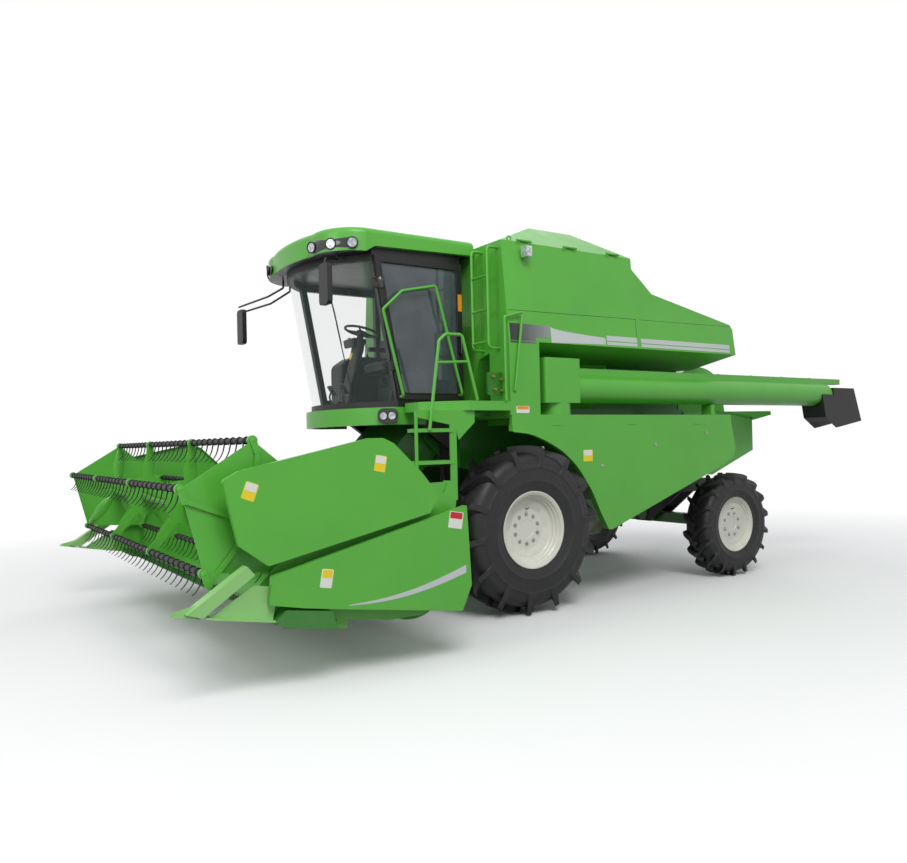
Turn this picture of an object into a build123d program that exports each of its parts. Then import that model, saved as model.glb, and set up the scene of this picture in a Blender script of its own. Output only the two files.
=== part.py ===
from build123d import *
from math import atan2, cos, degrees, hypot, pi, radians, sin
import os

# A self-propelled combine harvester with a grain header, in millimetres.
# The whole machine stands on Z = 0. +X points forward, +Y to the machine's left and +Z up.
# The origin is on the ground under the middle of the overall length and width.
# Lengths along the machine are given from the front axle, which stands FRONT_AXLE_X ahead
# of the origin, and the planes below carry that offset.

os.makedirs("parts", exist_ok=True)

# Running gear
FRONT_AXLE_X = 1103.0
WHEELBASE = 3259.0
RUNNING_CLEARANCE = 0.05          # radial, between a stub shaft and its hub
SEAT_GAP = 0.3                    # between faces that turn past each other

# Grain header, described in its lowered place, where its floor is level
FEEDER_PIVOT = (550.0, 1750.0)    # axis on which feeder house and header rise
LIFT = 10.0                       # degrees that the header stands raised
HEADER_HALF = 2450.0              # middle to the outer face of a side shield
WALL_HALF = 2312.0                # middle to the outer face of a header side sheet
SHEET = 6.0                       # sheet metal of header and body panels

LIFT_BASE = (-150.0, 700.0)       # lower pin of the lift cylinders
LIFT_EYE = (1060.0, 480.0)        # their upper pin, on the lowered header
LIFT_Y = 400.0
LIFT_PIN_R = 22.0
LIFT_BARREL_R = 45.0
LIFT_EAR_Y = LIFT_BARREL_R + 9     # ears of the lower pin stand this far from the barrel's middle

# Reel
REEL_CENTRE = (2916.0, 799.0)
BAT_CIRCLE = 499.0                # radius on which the tine bars turn
BAT_COUNT = 5
FIRST_BAT = 83.8                  # degrees from straight ahead, upwards
PLATE_HALF = 2220.0               # middle to the outer face of a reel end plate
TINE_BAR_R = 20.0
TINE_LENGTH = 165.0
TINE_COUNT = 30
CRANK = (-38.0, -72.0)            # from every tine bar to its pin on the crank ring

# Body
TANK_FRONT = 220.0
TANK_REAR = -1540.0
TANK_TOP = 3630.0
TANK_HALF = 1400.0                # half width at the top edge
BELT_HALF = 1500.0                # half width at the lower edge, above the unloading tube
BELT_Z = 2640.0
PANEL = 5.0
COVER_HINGE = (TANK_HALF + 13, TANK_TOP + 14)      # y and height of the axis of a tank cover
COVER_HINGE_R = 11.0
COVER_HINGE_X = (-60.0, -660.0, -1260.0)
BODY_HALF = 780.0                 # half width of the threshing and separating body
SHELF_TOP = 1930.0
SHELF_LOW = 1835.0

# Cab
CAB_HALF = 880.0
CAB_REAR = 350.0
CAB_FLOOR = 2090.0
CAB_TOP = 3470.0
PILLAR_FOOT = 1100.0
PILLAR_LEAN = 250.0               # how far the front pillars lean forward over their height
WINDSHIELD_BULGE = 400.0
PILLAR = 64.0
GLASS = 6.0
SILL_T = 60.0

# Unloading auger
SWING_AXIS = (-470.0, 1330.0)     # upright axis on which the folded tube swings out
TUBE_R = 150.0
TUBE_Z = 2205.0
TUBE_END = -5180.0


def across(y):
    """Plane across the machine at y: local x runs forward from the front axle, local y up."""
    return Plane(origin=(FRONT_AXLE_X, y, 0), x_dir=(1, 0, 0), z_dir=(0, -1, 0))


def level(z):
    """Level plane at height z: local x runs forward from the front axle, local y to the left."""
    return Plane(origin=(FRONT_AXLE_X, 0, z), x_dir=(1, 0, 0), z_dir=(0, 0, 1))


def facing(x):
    """Upright plane that faces forward at x: local x runs to the left, local y up."""
    return Plane(origin=(FRONT_AXLE_X + x, 0, 0), x_dir=(0, 1, 0), z_dir=(1, 0, 0))


def raised(x, z):
    """Where a point of the lowered header lies once the header is raised, from the front axle."""
    dx, dz = x - FEEDER_PIVOT[0], z - FEEDER_PIVOT[1]
    c, s = cos(radians(LIFT)), sin(radians(LIFT))
    return (FEEDER_PIVOT[0] + dx * c - dz * s, FEEDER_PIVOT[1] + dx * s + dz * c)


def header_across(y):
    """Like across(y), turned with the raised header, for sizes taken on the lowered header."""
    x, z = raised(0, 0)
    c, s = cos(radians(LIFT)), sin(radians(LIFT))
    return Plane(origin=(FRONT_AXLE_X + x, y, z), x_dir=(c, 0, s), z_dir=(0, -1, 0))


def header_level(z):
    """Level plane of the lowered header at height z, raised with it: local y to the left."""
    x, up = raised(0, z)
    c, s = cos(radians(LIFT)), sin(radians(LIFT))
    return Plane(origin=(FRONT_AXLE_X + x, 0, up), x_dir=(c, 0, s), z_dir=(-s, 0, c))


def save(piece, name):
    """Give the finished piece its name and write it."""
    piece.label = name
    export_step(piece, f"parts/{name}.step")


# Wheels
# end, axle x, axle height, wheel centre y, tyre radius, tyre width, lug height, lugs a row,
# flat sides of the tread, rim flange radius, rim width, disc offset outward, hub radius, stub radius, stub start y
WHEELS = [
    ("front", 0.0, 817.0, 1335.0, 817.0, 490.0, 64.0, 14, 24, 374.0, 430.0, 70.0, 130.0, 60.0, 1190.0),
    ("rear", -WHEELBASE, 618.0, 1230.0, 618.0, 343.0, 46.0, 17, 20, 348.0, 280.0, 60.0, 95.0, 40.0, 1120.0),
]
RIM_WALL = 9.0
FLANGE_T = 9.0
FLANGE_LIP = 22.0                 # flange radius over the bead seat


def drum(centre, half, sides):
    """A solid of flat facets round a wheel's axle, one flat side after another.

    half lists (radius at the corners, distance from the wheel's middle) from the bead to the
    crown, and the same rings follow on the other side. One corner points straight down.
    """
    rings = [(r, -y) for r, y in half] + [(r, y) for r, y in reversed(half)]
    turns = [2 * pi * k / sides - pi / 2 for k in range(sides)]
    loops = [[Vector(centre[0] + r * cos(a), centre[1] + y, centre[2] + r * sin(a)) for a in turns]
             for r, y in rings]
    faces = [Face(Wire.make_polygon([low[k - 1], low[k], high[k], high[k - 1]]))
             for low, high in zip(loops, loops[1:]) for k in range(sides)]
    faces += [Face(Wire.make_polygon(loops[0])), Face(Wire.make_polygon(loops[-1]))]
    return Solid(Shell(faces))


for (end, axle_x, axle_z, centre_y, tyre_r, tyre_w, lug_h, lug_n, sides, flange_r, rim_w,
        disc_y, hub_r, stub_r, stub_y) in WHEELS:
    centre = (FRONT_AXLE_X + axle_x, centre_y, axle_z)
    axle = Axis(centre, (0, 1, 0))
    section = Plane(origin=centre, x_dir=(0, 0, 1), z_dir=(-1, 0, 0))
    seat_r = flange_r - FLANGE_LIP
    carcass_r = tyre_r - lug_h
    bead = rim_w / 2 - FLANGE_T
    carcass = [(flange_r / cos(pi / sides), bead), (0.45 * flange_r + 0.55 * carcass_r, 0.50 * tyre_w),
               (carcass_r, 0.38 * tyre_w)]
    tread = [(carcass_r - 0.16 * tyre_w, 0.50 * tyre_w), (tyre_r, 0.43 * tyre_w)]

    with BuildPart() as tyre:
        # two rows of raked lugs, cut off by the tread's own facets
        for row in (-1, 1):
            for k in range(lug_n):
                turn = radians((k + 0.25 * row) * 360 / lug_n) - pi / 2
                out = Vector(cos(turn), 0, sin(turn))
                crown = Plane(origin=Vector(*centre) + out * (tyre_r * 1.06),
                              x_dir=(-sin(turn), 0, cos(turn)), z_dir=out)
                rake = 0.40 * tyre_w
                with BuildSketch(crown):
                    with BuildLine():
                        Polyline((-0.11 * tyre_w, 0), (0.02 * tyre_w, -row * 0.02 * tyre_w),
                                 (rake + 0.05 * tyre_w, row * 0.50 * tyre_w),
                                 (rake - 0.09 * tyre_w, row * 0.50 * tyre_w), close=True)
                    make_face()
                extrude(amount=-(tyre_r * 1.06 - carcass_r + 0.22 * tyre_w))
        add(drum(centre, tread, sides), mode=Mode.INTERSECT)
        add(drum(centre, carcass, sides))
        with BuildSketch(Plane(origin=Vector(centre[0], centre_y - bead - 10, axle_z), x_dir=(1, 0, 0),
                               z_dir=(0, 1, 0))):
            RegularPolygon(seat_r, sides, major_radius=False)
        extrude(amount=2 * bead + 20, mode=Mode.SUBTRACT)

    with BuildPart() as rim:
        with BuildSketch(section):
            with BuildLine():
                Polyline((seat_r - RIM_WALL, -rim_w / 2), (flange_r, -rim_w / 2),
                         (flange_r, -bead), (seat_r, -bead), (seat_r, bead),
                         (flange_r, bead), (flange_r, rim_w / 2),
                         (seat_r - RIM_WALL, rim_w / 2), close=True)
            make_face()
            # dished disc from the barrel to the hub
            with BuildLine():
                Polyline((seat_r - RIM_WALL, disc_y), (seat_r - RIM_WALL, disc_y + 14),
                         (0.72 * seat_r, disc_y + 14), (0.60 * seat_r, disc_y - 26),
                         (hub_r, disc_y - 26), (hub_r, disc_y - 40),
                         (0.58 * seat_r, disc_y - 40), (0.70 * seat_r, disc_y), close=True)
            make_face()
            with BuildLine():
                Polyline((stub_r + RUNNING_CLEARANCE, stub_y + SEAT_GAP - centre_y),
                         (hub_r, stub_y + SEAT_GAP - centre_y), (hub_r, disc_y + 6),
                         (0.55 * hub_r, disc_y + 22), (0, disc_y + 22), (0, disc_y + 6),
                         (stub_r + RUNNING_CLEARANCE, disc_y + 6), close=True)
            make_face()
        revolve(axis=axle)

    with BuildPart() as tyre_right:
        add(mirror(tyre.part, about=Plane.XZ, mode=Mode.PRIVATE))
    with BuildPart() as rim_right:
        add(mirror(rim.part, about=Plane.XZ, mode=Mode.PRIVATE))
    save(tyre.part, f"tyre_{end}_left")
    save(rim.part, f"rim_{end}_left")
    save(tyre_right.part, f"tyre_{end}_right")
    save(rim_right.part, f"rim_{end}_right")

FRONT_TRACK_HALF, FRONT_AXLE_Z = WHEELS[0][3], WHEELS[0][2]
FRONT_STUB_R, FRONT_STUB_Y = WHEELS[0][13], WHEELS[0][14]
FRONT_STUB_END = FRONT_TRACK_HALF + WHEELS[0][11] + 6 - 2.0
REAR_TRACK_HALF, REAR_AXLE_Z = WHEELS[1][3], WHEELS[1][2]
REAR_STUB_R, REAR_STUB_Y = WHEELS[1][13], WHEELS[1][14]
REAR_STUB_END = REAR_TRACK_HALF + WHEELS[1][11] + 6 - 2.0

# Front axle
AXLE_BEAM_LOW = 800.0
AXLE_BEAM_TOP = 980.0
AXLE_BEAM_HALF_X = 110.0
FINAL_DRIVE = (860.0, 1010.0)     # inner and outer y of a final drive housing
with BuildPart() as front_axle:
    with BuildSketch(across(FINAL_DRIVE[0])):
        with Locations((0, (AXLE_BEAM_LOW + AXLE_BEAM_TOP) / 2)):
            RectangleRounded(2 * AXLE_BEAM_HALF_X, AXLE_BEAM_TOP - AXLE_BEAM_LOW, 25)
    extrude(amount=2 * FINAL_DRIVE[0])
    # gearbox in the middle
    with BuildSketch(across(240)):
        with Locations((30, 880)):
            RectangleRounded(420, 330, 60)
    extrude(amount=480)
    for side in (-1, 1):
        hub = Plane(origin=(FRONT_AXLE_X, side * FINAL_DRIVE[0], 0), x_dir=(1, 0, 0), z_dir=(0, side, 0))
        with BuildSketch(hub):
            with Locations((0, side * -FRONT_AXLE_Z) if side > 0 else (0, FRONT_AXLE_Z)):
                Circle(230)
            with Locations((0, -930.0 if side > 0 else 930.0)):
                RectangleRounded(360, 300, 60)
        extrude(amount=FINAL_DRIVE[1] - FINAL_DRIVE[0])
        with BuildSketch(hub.offset(FINAL_DRIVE[1] - FINAL_DRIVE[0])):
            with Locations((0, -FRONT_AXLE_Z if side > 0 else FRONT_AXLE_Z)):
                Circle(150)
        extrude(amount=FRONT_STUB_Y - FINAL_DRIVE[1], taper=4)
        with BuildSketch(hub.offset(FRONT_STUB_Y - FINAL_DRIVE[0])):
            with Locations((0, -FRONT_AXLE_Z if side > 0 else FRONT_AXLE_Z)):
                Circle(FRONT_STUB_R)
        extrude(amount=FRONT_STUB_END - FRONT_STUB_Y)
    # ears under the beam that hold the lift cylinders' lower pins
    for side in (-1, 1):
        for y in (LIFT_Y - LIFT_EAR_Y, LIFT_Y + LIFT_EAR_Y):
            with BuildSketch(across(side * y + 4)):
                with BuildLine():
                    Polyline((-AXLE_BEAM_HALF_X, 900), (-AXLE_BEAM_HALF_X + 90, AXLE_BEAM_LOW),
                             (LIFT_BASE[0] + 30, LIFT_BASE[1] - 40), (LIFT_BASE[0] - 40, LIFT_BASE[1] - 40),
                             (LIFT_BASE[0] - 40, LIFT_BASE[1] + 60), close=True)
                make_face()
            extrude(amount=8)
        with BuildSketch(across(side * LIFT_Y + LIFT_EAR_Y + 4)):
            with Locations(LIFT_BASE):
                Circle(LIFT_PIN_R)
        extrude(amount=2 * LIFT_EAR_Y + 8)
save(front_axle.part, "front_axle")

# Rear axle and knuckles
KINGPIN_Y = 990.0
KINGPIN_R = 24.0
REAR_BEAM_Z = 640.0
REAR_BEAM = 130.0                 # height and depth of the box beam
KNUCKLE_EAR = 42.0
with BuildPart() as rear_axle_beam:
    with BuildSketch(across(KINGPIN_Y - 75)):
        with Locations((-WHEELBASE, REAR_BEAM_Z)):
            Rectangle(REAR_BEAM, REAR_BEAM)
    extrude(amount=2 * (KINGPIN_Y - 75))
    for side in (-1, 1):
        with BuildSketch(level(REAR_BEAM_Z - REAR_BEAM / 2)):
            with Locations((-WHEELBASE, side * (KINGPIN_Y - 35))):
                Rectangle(REAR_BEAM, 90)
            with Locations((-WHEELBASE, side * KINGPIN_Y)):
                Circle(REAR_BEAM / 2)
        extrude(amount=REAR_BEAM)
        with BuildSketch(level(REAR_BEAM_Z)):
            with Locations((-WHEELBASE, side * KINGPIN_Y)):
                Circle(KINGPIN_R)
        extrude(amount=REAR_BEAM / 2 + KNUCKLE_EAR + 6, both=True)
    # centre pivot trunnion
    with BuildSketch(facing(-WHEELBASE)):
        with Locations((0, REAR_BEAM_Z + 40)):
            Circle(85)
    extrude(amount=150, both=True)
save(rear_axle_beam.part, "rear_axle_beam")

for side, name in ((1, "left"), (-1, "right")):
    with BuildPart() as knuckle:
        # two ears over and under the beam's end, with the kingpin bore through them
        for z in (REAR_BEAM_Z + REAR_BEAM / 2 + SEAT_GAP, REAR_BEAM_Z - REAR_BEAM / 2 - SEAT_GAP - KNUCKLE_EAR):
            with BuildSketch(level(z)):
                with Locations((-WHEELBASE, side * KINGPIN_Y)):
                    Circle(REAR_BEAM / 2)
                with Locations((-WHEELBASE, side * (KINGPIN_Y + 50))):
                    Rectangle(REAR_BEAM, 100)
                with Locations((-WHEELBASE, side * KINGPIN_Y)):
                    Circle(KINGPIN_R + RUNNING_CLEARANCE, mode=Mode.SUBTRACT)
            extrude(amount=KNUCKLE_EAR)
        ear_low = REAR_BEAM_Z - REAR_BEAM / 2 - SEAT_GAP - KNUCKLE_EAR
        ear_top = REAR_BEAM_Z + REAR_BEAM / 2 + SEAT_GAP + KNUCKLE_EAR
        with BuildSketch(level(ear_low)):
            with Locations((-WHEELBASE, side * (KINGPIN_Y + 86))):
                Rectangle(REAR_BEAM, 32)
        extrude(amount=ear_top - ear_low)
        stub = Plane(origin=(FRONT_AXLE_X - WHEELBASE, side * (KINGPIN_Y + 100), REAR_AXLE_Z),
                     x_dir=(1, 0, 0), z_dir=(0, side, 0))
        with BuildSketch(stub):
            Circle(70)
        extrude(amount=REAR_STUB_Y - KINGPIN_Y - 100)
        with BuildSketch(stub.offset(REAR_STUB_Y - KINGPIN_Y - 100)):
            Circle(REAR_STUB_R)
        extrude(amount=REAR_STUB_END - REAR_STUB_Y)
        # steering arm to the rear
        with BuildSketch(level(ear_low)):
            with BuildLine():
                Polyline((-WHEELBASE - 40, side * (KINGPIN_Y - 30)), (-WHEELBASE - 40, side * (KINGPIN_Y + 60)),
                         (-WHEELBASE - 210, side * (KINGPIN_Y + 10)), (-WHEELBASE - 210, side * (KINGPIN_Y - 40)),
                         close=True)
            make_face()
        extrude(amount=28)
    save(knuckle.part, f"steering_knuckle_{name}")

# Chassis
RAIL_HALF = 640.0
RAIL = (110.0, 160.0)             # width and height of the box rails
RAIL_LOW = 985.0
RAIL_FRONT = 470.0
RAIL_REAR = -3620.0
HITCH_X = -3740.0                 # towing pin's bore behind the rear cross member
HITCH_R = 16.0
HITCH_T = 40.0
with BuildPart() as chassis_frame:
    for side in (-1, 1):
        with BuildSketch(facing(RAIL_REAR)):
            with Locations((side * RAIL_HALF, RAIL_LOW + RAIL[1] / 2)):
                Rectangle(*RAIL)
        extrude(amount=RAIL_FRONT - RAIL_REAR)
        # gusset plates that stand the rails on the front axle beam
        with BuildSketch(across(side * RAIL_HALF)):
            with BuildLine():
                Polyline((-190, RAIL_LOW + 20), (190, RAIL_LOW + 20),
                         (AXLE_BEAM_HALF_X + 10, AXLE_BEAM_TOP), (-AXLE_BEAM_HALF_X - 10, AXLE_BEAM_TOP), close=True)
            make_face()
        extrude(amount=40, both=True)
        # hangers down to the rear axle's centre pivot
        with BuildSketch(facing(-WHEELBASE + (REAR_BEAM / 2 + 40) * side)):
            with BuildLine():
                Polyline((-RAIL_HALF, RAIL_LOW), (-RAIL_HALF + 160, RAIL_LOW), (-110, 760), (110, 760),
                         (RAIL_HALF - 160, RAIL_LOW), (RAIL_HALF, RAIL_LOW), (120, REAR_BEAM_Z - 60),
                         (-120, REAR_BEAM_Z - 60), close=True)
            make_face()
            with Locations((0, REAR_BEAM_Z + 40)):
                Circle(85 + SEAT_GAP, mode=Mode.SUBTRACT)
        extrude(amount=30 * side)
    for x in (RAIL_FRONT - 60, -255.0, -2700.0, RAIL_REAR + 60):
        with BuildSketch(across(RAIL_HALF - RAIL[0] / 2)):
            with Locations((x, RAIL_LOW + RAIL[1] / 2)):
                Rectangle(100, RAIL[1])
        extrude(amount=2 * RAIL_HALF - RAIL[0])
    for side in (-1, 1):
        # post and braced arm that carry the cab
        with BuildSketch(level(RAIL_LOW + RAIL[1] - 2)):
            with Locations((RAIL_FRONT - 50, side * RAIL_HALF)):
                Rectangle(80, 80)
        extrude(amount=CAB_FLOOR - SILL_T - RAIL_LOW - RAIL[1] + 2)
        with BuildSketch(facing(RAIL_FRONT - 90)):
            with Locations((side * 700, CAB_FLOOR - SILL_T - 45)):
                Rectangle(70, 90)
        extrude(amount=1200 - RAIL_FRONT + 90)
        with BuildSketch(across(side * 700 + 35)):
            with BuildLine():
                Polyline((RAIL_FRONT - 60, 1600), (RAIL_FRONT - 60, CAB_FLOOR - SILL_T - 80),
                         (900, CAB_FLOOR - SILL_T - 80), close=True)
            make_face()
        extrude(amount=70)
    # towing tongue with its pin bore under the straw hood
    with BuildSketch(level(RAIL_LOW)):
        with Locations(((HITCH_X + RAIL_REAR + 60) / 2, 0)):
            Rectangle(RAIL_REAR + 60 - HITCH_X, 120)
        with Locations((HITCH_X, 0)):
            Circle(60)
            Circle(HITCH_R, mode=Mode.SUBTRACT)
    extrude(amount=HITCH_T)
save(chassis_frame.part, "chassis_frame")

# Threshing body and straw hood
BODY_TOP = 2025.0
BODY_REAR = -3050.0
DRUM_R = 205.0                    # feeder house's round rear end about its pivot
PIVOT_SHAFT_R = 35.0
FEEDER_HALF = 520.0
with BuildPart() as separator_body:
    with BuildSketch(across(BODY_HALF)):
        with BuildLine():
            Polyline((FEEDER_PIVOT[0] - DRUM_R - 15, 1420), (FEEDER_PIVOT[0] - DRUM_R - 15, BODY_TOP),
                     (BODY_REAR, BODY_TOP), (BODY_REAR, 1330), (-2750, 1290), (-2500, RAIL_LOW + RAIL[1]),
                     (-200, RAIL_LOW + RAIL[1]), (-30, 1330), close=True)
        make_face()
    extrude(amount=2 * BODY_HALF)
    # grain pan and cleaning shoe between the rails
    with BuildSketch(across(RAIL_HALF - RAIL[0] / 2 - 20)):
        with BuildLine():
            Polyline((-330, RAIL_LOW + RAIL[1]), (-2450, RAIL_LOW + RAIL[1]), (-2560, 960),
                     (-2150, 860), (-1900, 700), (-1650, 700), (-1400, 860), (-1150, 700),
                     (-900, 700), (-600, 960), close=True)
        make_face()
    extrude(amount=2 * (RAIL_HALF - RAIL[0] / 2 - 20))
    # cheeks that carry the feeder's pivot shaft
    for side in (-1, 1):
        with BuildSketch(across(side * (FEEDER_HALF + 45))):
            with BuildLine():
                Polyline((FEEDER_PIVOT[0] - DRUM_R - 15, 1460), (FEEDER_PIVOT[0] + 20, FEEDER_PIVOT[1] - 90),
                         (FEEDER_PIVOT[0] + 75, FEEDER_PIVOT[1]), (FEEDER_PIVOT[0] + 20, FEEDER_PIVOT[1] + 90),
                         (FEEDER_PIVOT[0] - DRUM_R - 15, BODY_TOP - 40), close=True)
            make_face()
        extrude(amount=25, both=True)
    with BuildSketch(across(FEEDER_HALF + 60)):
        with Locations(FEEDER_PIVOT):
            Circle(PIVOT_SHAFT_R)
    extrude(amount=2 * (FEEDER_HALF + 60))
    # upright side walls of the engine bay on top of the body
    for side in (-1, 1):
        with BuildSketch(across(side * (BODY_HALF - 12) + 12)):
            with BuildLine():
                Polyline((TANK_REAR, BODY_TOP - 5), (TANK_REAR, BELT_Z - 132), (-2945, BELT_Z - 132), (-2945, BODY_TOP - 5),
                         close=True)
            make_face()
        extrude(amount=24)
save(separator_body.part, "separator_body")

HOOD_HALF = 800.0
with BuildPart() as straw_hood:
    with BuildSketch(across(HOOD_HALF)):
        with BuildLine():
            Polyline((BODY_REAR, 1995), (-3900, 1995), (-4370, 1930), (-4400, 1880), (-4400, 1490),
                     (-3560, 1190), (BODY_REAR, 1240), close=True)
        make_face()
    extrude(amount=2 * HOOD_HALF)
    with BuildSketch(across(HOOD_HALF - PANEL)):
        with BuildLine():
            Polyline((BODY_REAR, 1990), (-3900, 1990), (-4366, 1925), (-4395, 1878), (-4395, 1400),
                     (-3560, 1100), (BODY_REAR, 1150), close=True)
        make_face()
    extrude(amount=2 * (HOOD_HALF - PANEL), mode=Mode.SUBTRACT)
    # flared shelf over the rear wall
    with BuildSketch(across(HOOD_HALF + 20)):
        with BuildLine():
            Polyline((-3700, 1993), (-3700, 2000), (-4780, 2010), (-4790, 1960), (-4398, 1890), (-4368, 1928),
                     (-3900, 1993), close=True)
        make_face()
    extrude(amount=2 * (HOOD_HALF + 20))
    # rounded cowl on top of the hood, behind the engine
    with BuildSketch(across(700)):
        with BuildLine():
            Polyline((-3960, 1993), (-3060, 1993), (-3060, 2440), (-3150, 2500))
            ThreePointArc((-3150, 2500), (-3600, 2560), (-3900, 2380))
            Line((-3900, 2380), (-3960, 1993))
        make_face()
    extrude(amount=1400)
save(straw_hood.part, "straw_hood")


# Grain tank and engine hood
FLOOR_HALF = 1000.0
with BuildPart() as grain_tank:
    with BuildSketch(facing(TANK_REAR)) as tank_outline:
        with BuildLine():
            Polyline((-TANK_HALF, TANK_TOP), (-BELT_HALF, BELT_Z), (-FLOOR_HALF, BELT_Z - 140),
                     (-BODY_HALF + 20, BODY_TOP), (BODY_HALF - 20, BODY_TOP), (FLOOR_HALF, BELT_Z - 140),
                     (BELT_HALF, BELT_Z), (TANK_HALF, TANK_TOP), close=True)
        make_face()
    extrude(amount=TANK_FRONT - TANK_REAR)
    with BuildSketch(facing(TANK_REAR + PANEL)):
        with BuildLine():
            Polyline((-TANK_HALF + PANEL, TANK_TOP + 1), (-BELT_HALF + PANEL, BELT_Z + 4),
                     (-FLOOR_HALF + 2, BELT_Z - 134), (-260, BODY_TOP + 10), (260, BODY_TOP + 10),
                     (FLOOR_HALF - 2, BELT_Z - 134), (BELT_HALF - PANEL, BELT_Z + 4),
                     (TANK_HALF - PANEL, TANK_TOP + 1), close=True)
        make_face()
    extrude(amount=TANK_FRONT - TANK_REAR - 2 * PANEL, mode=Mode.SUBTRACT)
    # knuckles of the covers' hinges, one on each side of every bar
    for side in (-1, 1):
        for x in COVER_HINGE_X:
            for start in (x - 45 - 6 - 40, x + 45 + 6):
                with BuildSketch(facing(start)):
                    with BuildLine():
                        Polyline((side * (TANK_HALF + 3), TANK_TOP - 30), (side * (COVER_HINGE[0] + 6), COVER_HINGE[1]),
                                 (side * (COVER_HINGE[0] - 8), COVER_HINGE[1]), (side * (TANK_HALF + 1), TANK_TOP - 1),
                                 (side * (TANK_HALF - 2), TANK_TOP - 1), (side * (TANK_HALF - 2), TANK_TOP - 30),
                                 close=True)
                    make_face()
                    with Locations((side * COVER_HINGE[0], COVER_HINGE[1])):
                        Circle(COVER_HINGE_R)
                extrude(amount=40)
    # front corner panels down to the platform and the shelf
    for side in (-1, 1):
        with BuildSketch(level(SHELF_TOP)):
            with BuildLine():
                Polyline((-150, side * BELT_HALF), (TANK_FRONT, side * BELT_HALF),
                         (TANK_FRONT, side * 1180), (TANK_FRONT - 30, side * 1180),
                         (TANK_FRONT - 30, side * (BELT_HALF - 30)), (-150, side * (BELT_HALF - 30)), close=True)
            make_face()
        extrude(amount=BELT_Z - SHELF_TOP)
save(grain_tank.part, "grain_tank")

HOOD_REAR = -3150.0
HOOD_TOP = [(TANK_REAR, 3510), (-1820, 3260), (-3110, 2995), (HOOD_REAR, 2940), (HOOD_REAR - 10, BELT_Z)]
# what is cut from the hood's inside: its length and height, then its width
with BuildPart() as hood_core:
    with BuildSketch(across(BELT_HALF)):
        with BuildLine():
            Polyline((TANK_REAR + 20, 3490), (TANK_REAR - 20, 3490), (-1826, 3253), (-3105, 2989),
                     (HOOD_REAR + 6, 2936), (HOOD_REAR - 3, BELT_Z + 4), (-2950, BELT_Z - 200),
                     (TANK_REAR + 20, BELT_Z - 200), close=True)
        make_face()
    extrude(amount=2 * BELT_HALF)
    with BuildSketch(facing(HOOD_REAR - 60)):
        with BuildLine():
            Polyline((-TANK_HALF + PANEL - 11, 3520), (-BELT_HALF + PANEL + 1, BELT_Z + 4), (-FLOOR_HALF, BELT_Z - 132),
                     (-BODY_HALF, BELT_Z - 132), (-BODY_HALF, BELT_Z - 200), (BODY_HALF, BELT_Z - 200),
                     (BODY_HALF, BELT_Z - 132), (FLOOR_HALF, BELT_Z - 132), (BELT_HALF - PANEL - 1, BELT_Z + 4),
                     (TANK_HALF - PANEL + 11, 3520), close=True)
        make_face()
    extrude(amount=TANK_REAR - HOOD_REAR + 200, mode=Mode.INTERSECT)
with BuildPart() as engine_hood:
    with BuildSketch(across(BELT_HALF)):
        with BuildLine():
            Polyline(*HOOD_TOP, (-2960, BELT_Z - 150), (TANK_REAR, BELT_Z - 150), close=True)
        make_face()
    extrude(amount=2 * BELT_HALF)
    # the sides lean in towards the top and the belly slopes in below the belt
    with BuildSketch(facing(HOOD_REAR - 60)):
        with BuildLine():
            Polyline((-TANK_HALF - 11, 3520), (-BELT_HALF, BELT_Z), (-FLOOR_HALF, BELT_Z - 140),
                     (FLOOR_HALF, BELT_Z - 140), (BELT_HALF, BELT_Z), (TANK_HALF + 11, 3520), close=True)
        make_face()
    extrude(amount=TANK_REAR - HOOD_REAR + 200, mode=Mode.INTERSECT)
    add(hood_core.part, mode=Mode.SUBTRACT)
save(engine_hood.part, "engine_hood")

ENGINE = (1150.0, 720.0, 780.0)   # length across the machine, depth and height of the engine
with BuildPart() as engine_block:
    with BuildSketch(level(BODY_TOP)):
        with Locations((-2250, 0)):
            RectangleRounded(ENGINE[1], ENGINE[0], 60)
    extrude(amount=ENGINE[2])
save(engine_block.part, "engine_block")

# tank covers: two halves of a hipped lid, hinged on the tank's side edges
COVER_T = 6.0
COVER_GAP = 4.0                   # from the middle to each half
COVER_RISE = 320.0
with BuildPart() as tank_cover_left:
    lid_low = Plane(origin=(FRONT_AXLE_X, 0, TANK_TOP + SEAT_GAP), x_dir=(1, 0, 0), z_dir=(0, 0, 1))
    for inset, lift, mode in ((0, 0, Mode.ADD), (COVER_T, -COVER_T, Mode.SUBTRACT)):
        with BuildSketch(lid_low.offset(lift)):
            with Locations(((TANK_FRONT + TANK_REAR) / 2, 0)):
                Rectangle(TANK_FRONT - TANK_REAR - 2 * inset, 2 * TANK_HALF - 2 * inset)
        with BuildSketch(lid_low.offset(COVER_RISE + lift)):
            with Locations((-835, 0)):
                Rectangle(590 - 2 * inset, 1800 - 2 * inset)
        loft(mode=mode)
    with BuildSketch(lid_low):
        with Locations(((TANK_FRONT + TANK_REAR) / 2, -TANK_HALF + COVER_GAP)):
            Rectangle(3000, 2 * TANK_HALF)
    extrude(amount=COVER_RISE + 20, mode=Mode.SUBTRACT)
    # hinge bars outside the tank's edge, with their straps on the lid
    for x in COVER_HINGE_X:
        with BuildSketch(facing(x - 45)):
            with BuildLine():
                Polyline((COVER_HINGE[0], TANK_TOP + 2), (TANK_HALF - 6, TANK_TOP + 2), (TANK_HALF - 34, TANK_TOP + 20),
                         (TANK_HALF - 38, TANK_TOP + 27), (COVER_HINGE[0], COVER_HINGE[1] + COVER_HINGE_R), close=True)
            make_face()
            with Locations(COVER_HINGE):
                Circle(COVER_HINGE_R)
        extrude(amount=90)
with BuildPart() as tank_cover_right:
    add(mirror(tank_cover_left.part, about=Plane.XZ, mode=Mode.PRIVATE))
save(tank_cover_left.part, "tank_cover_left")
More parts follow.
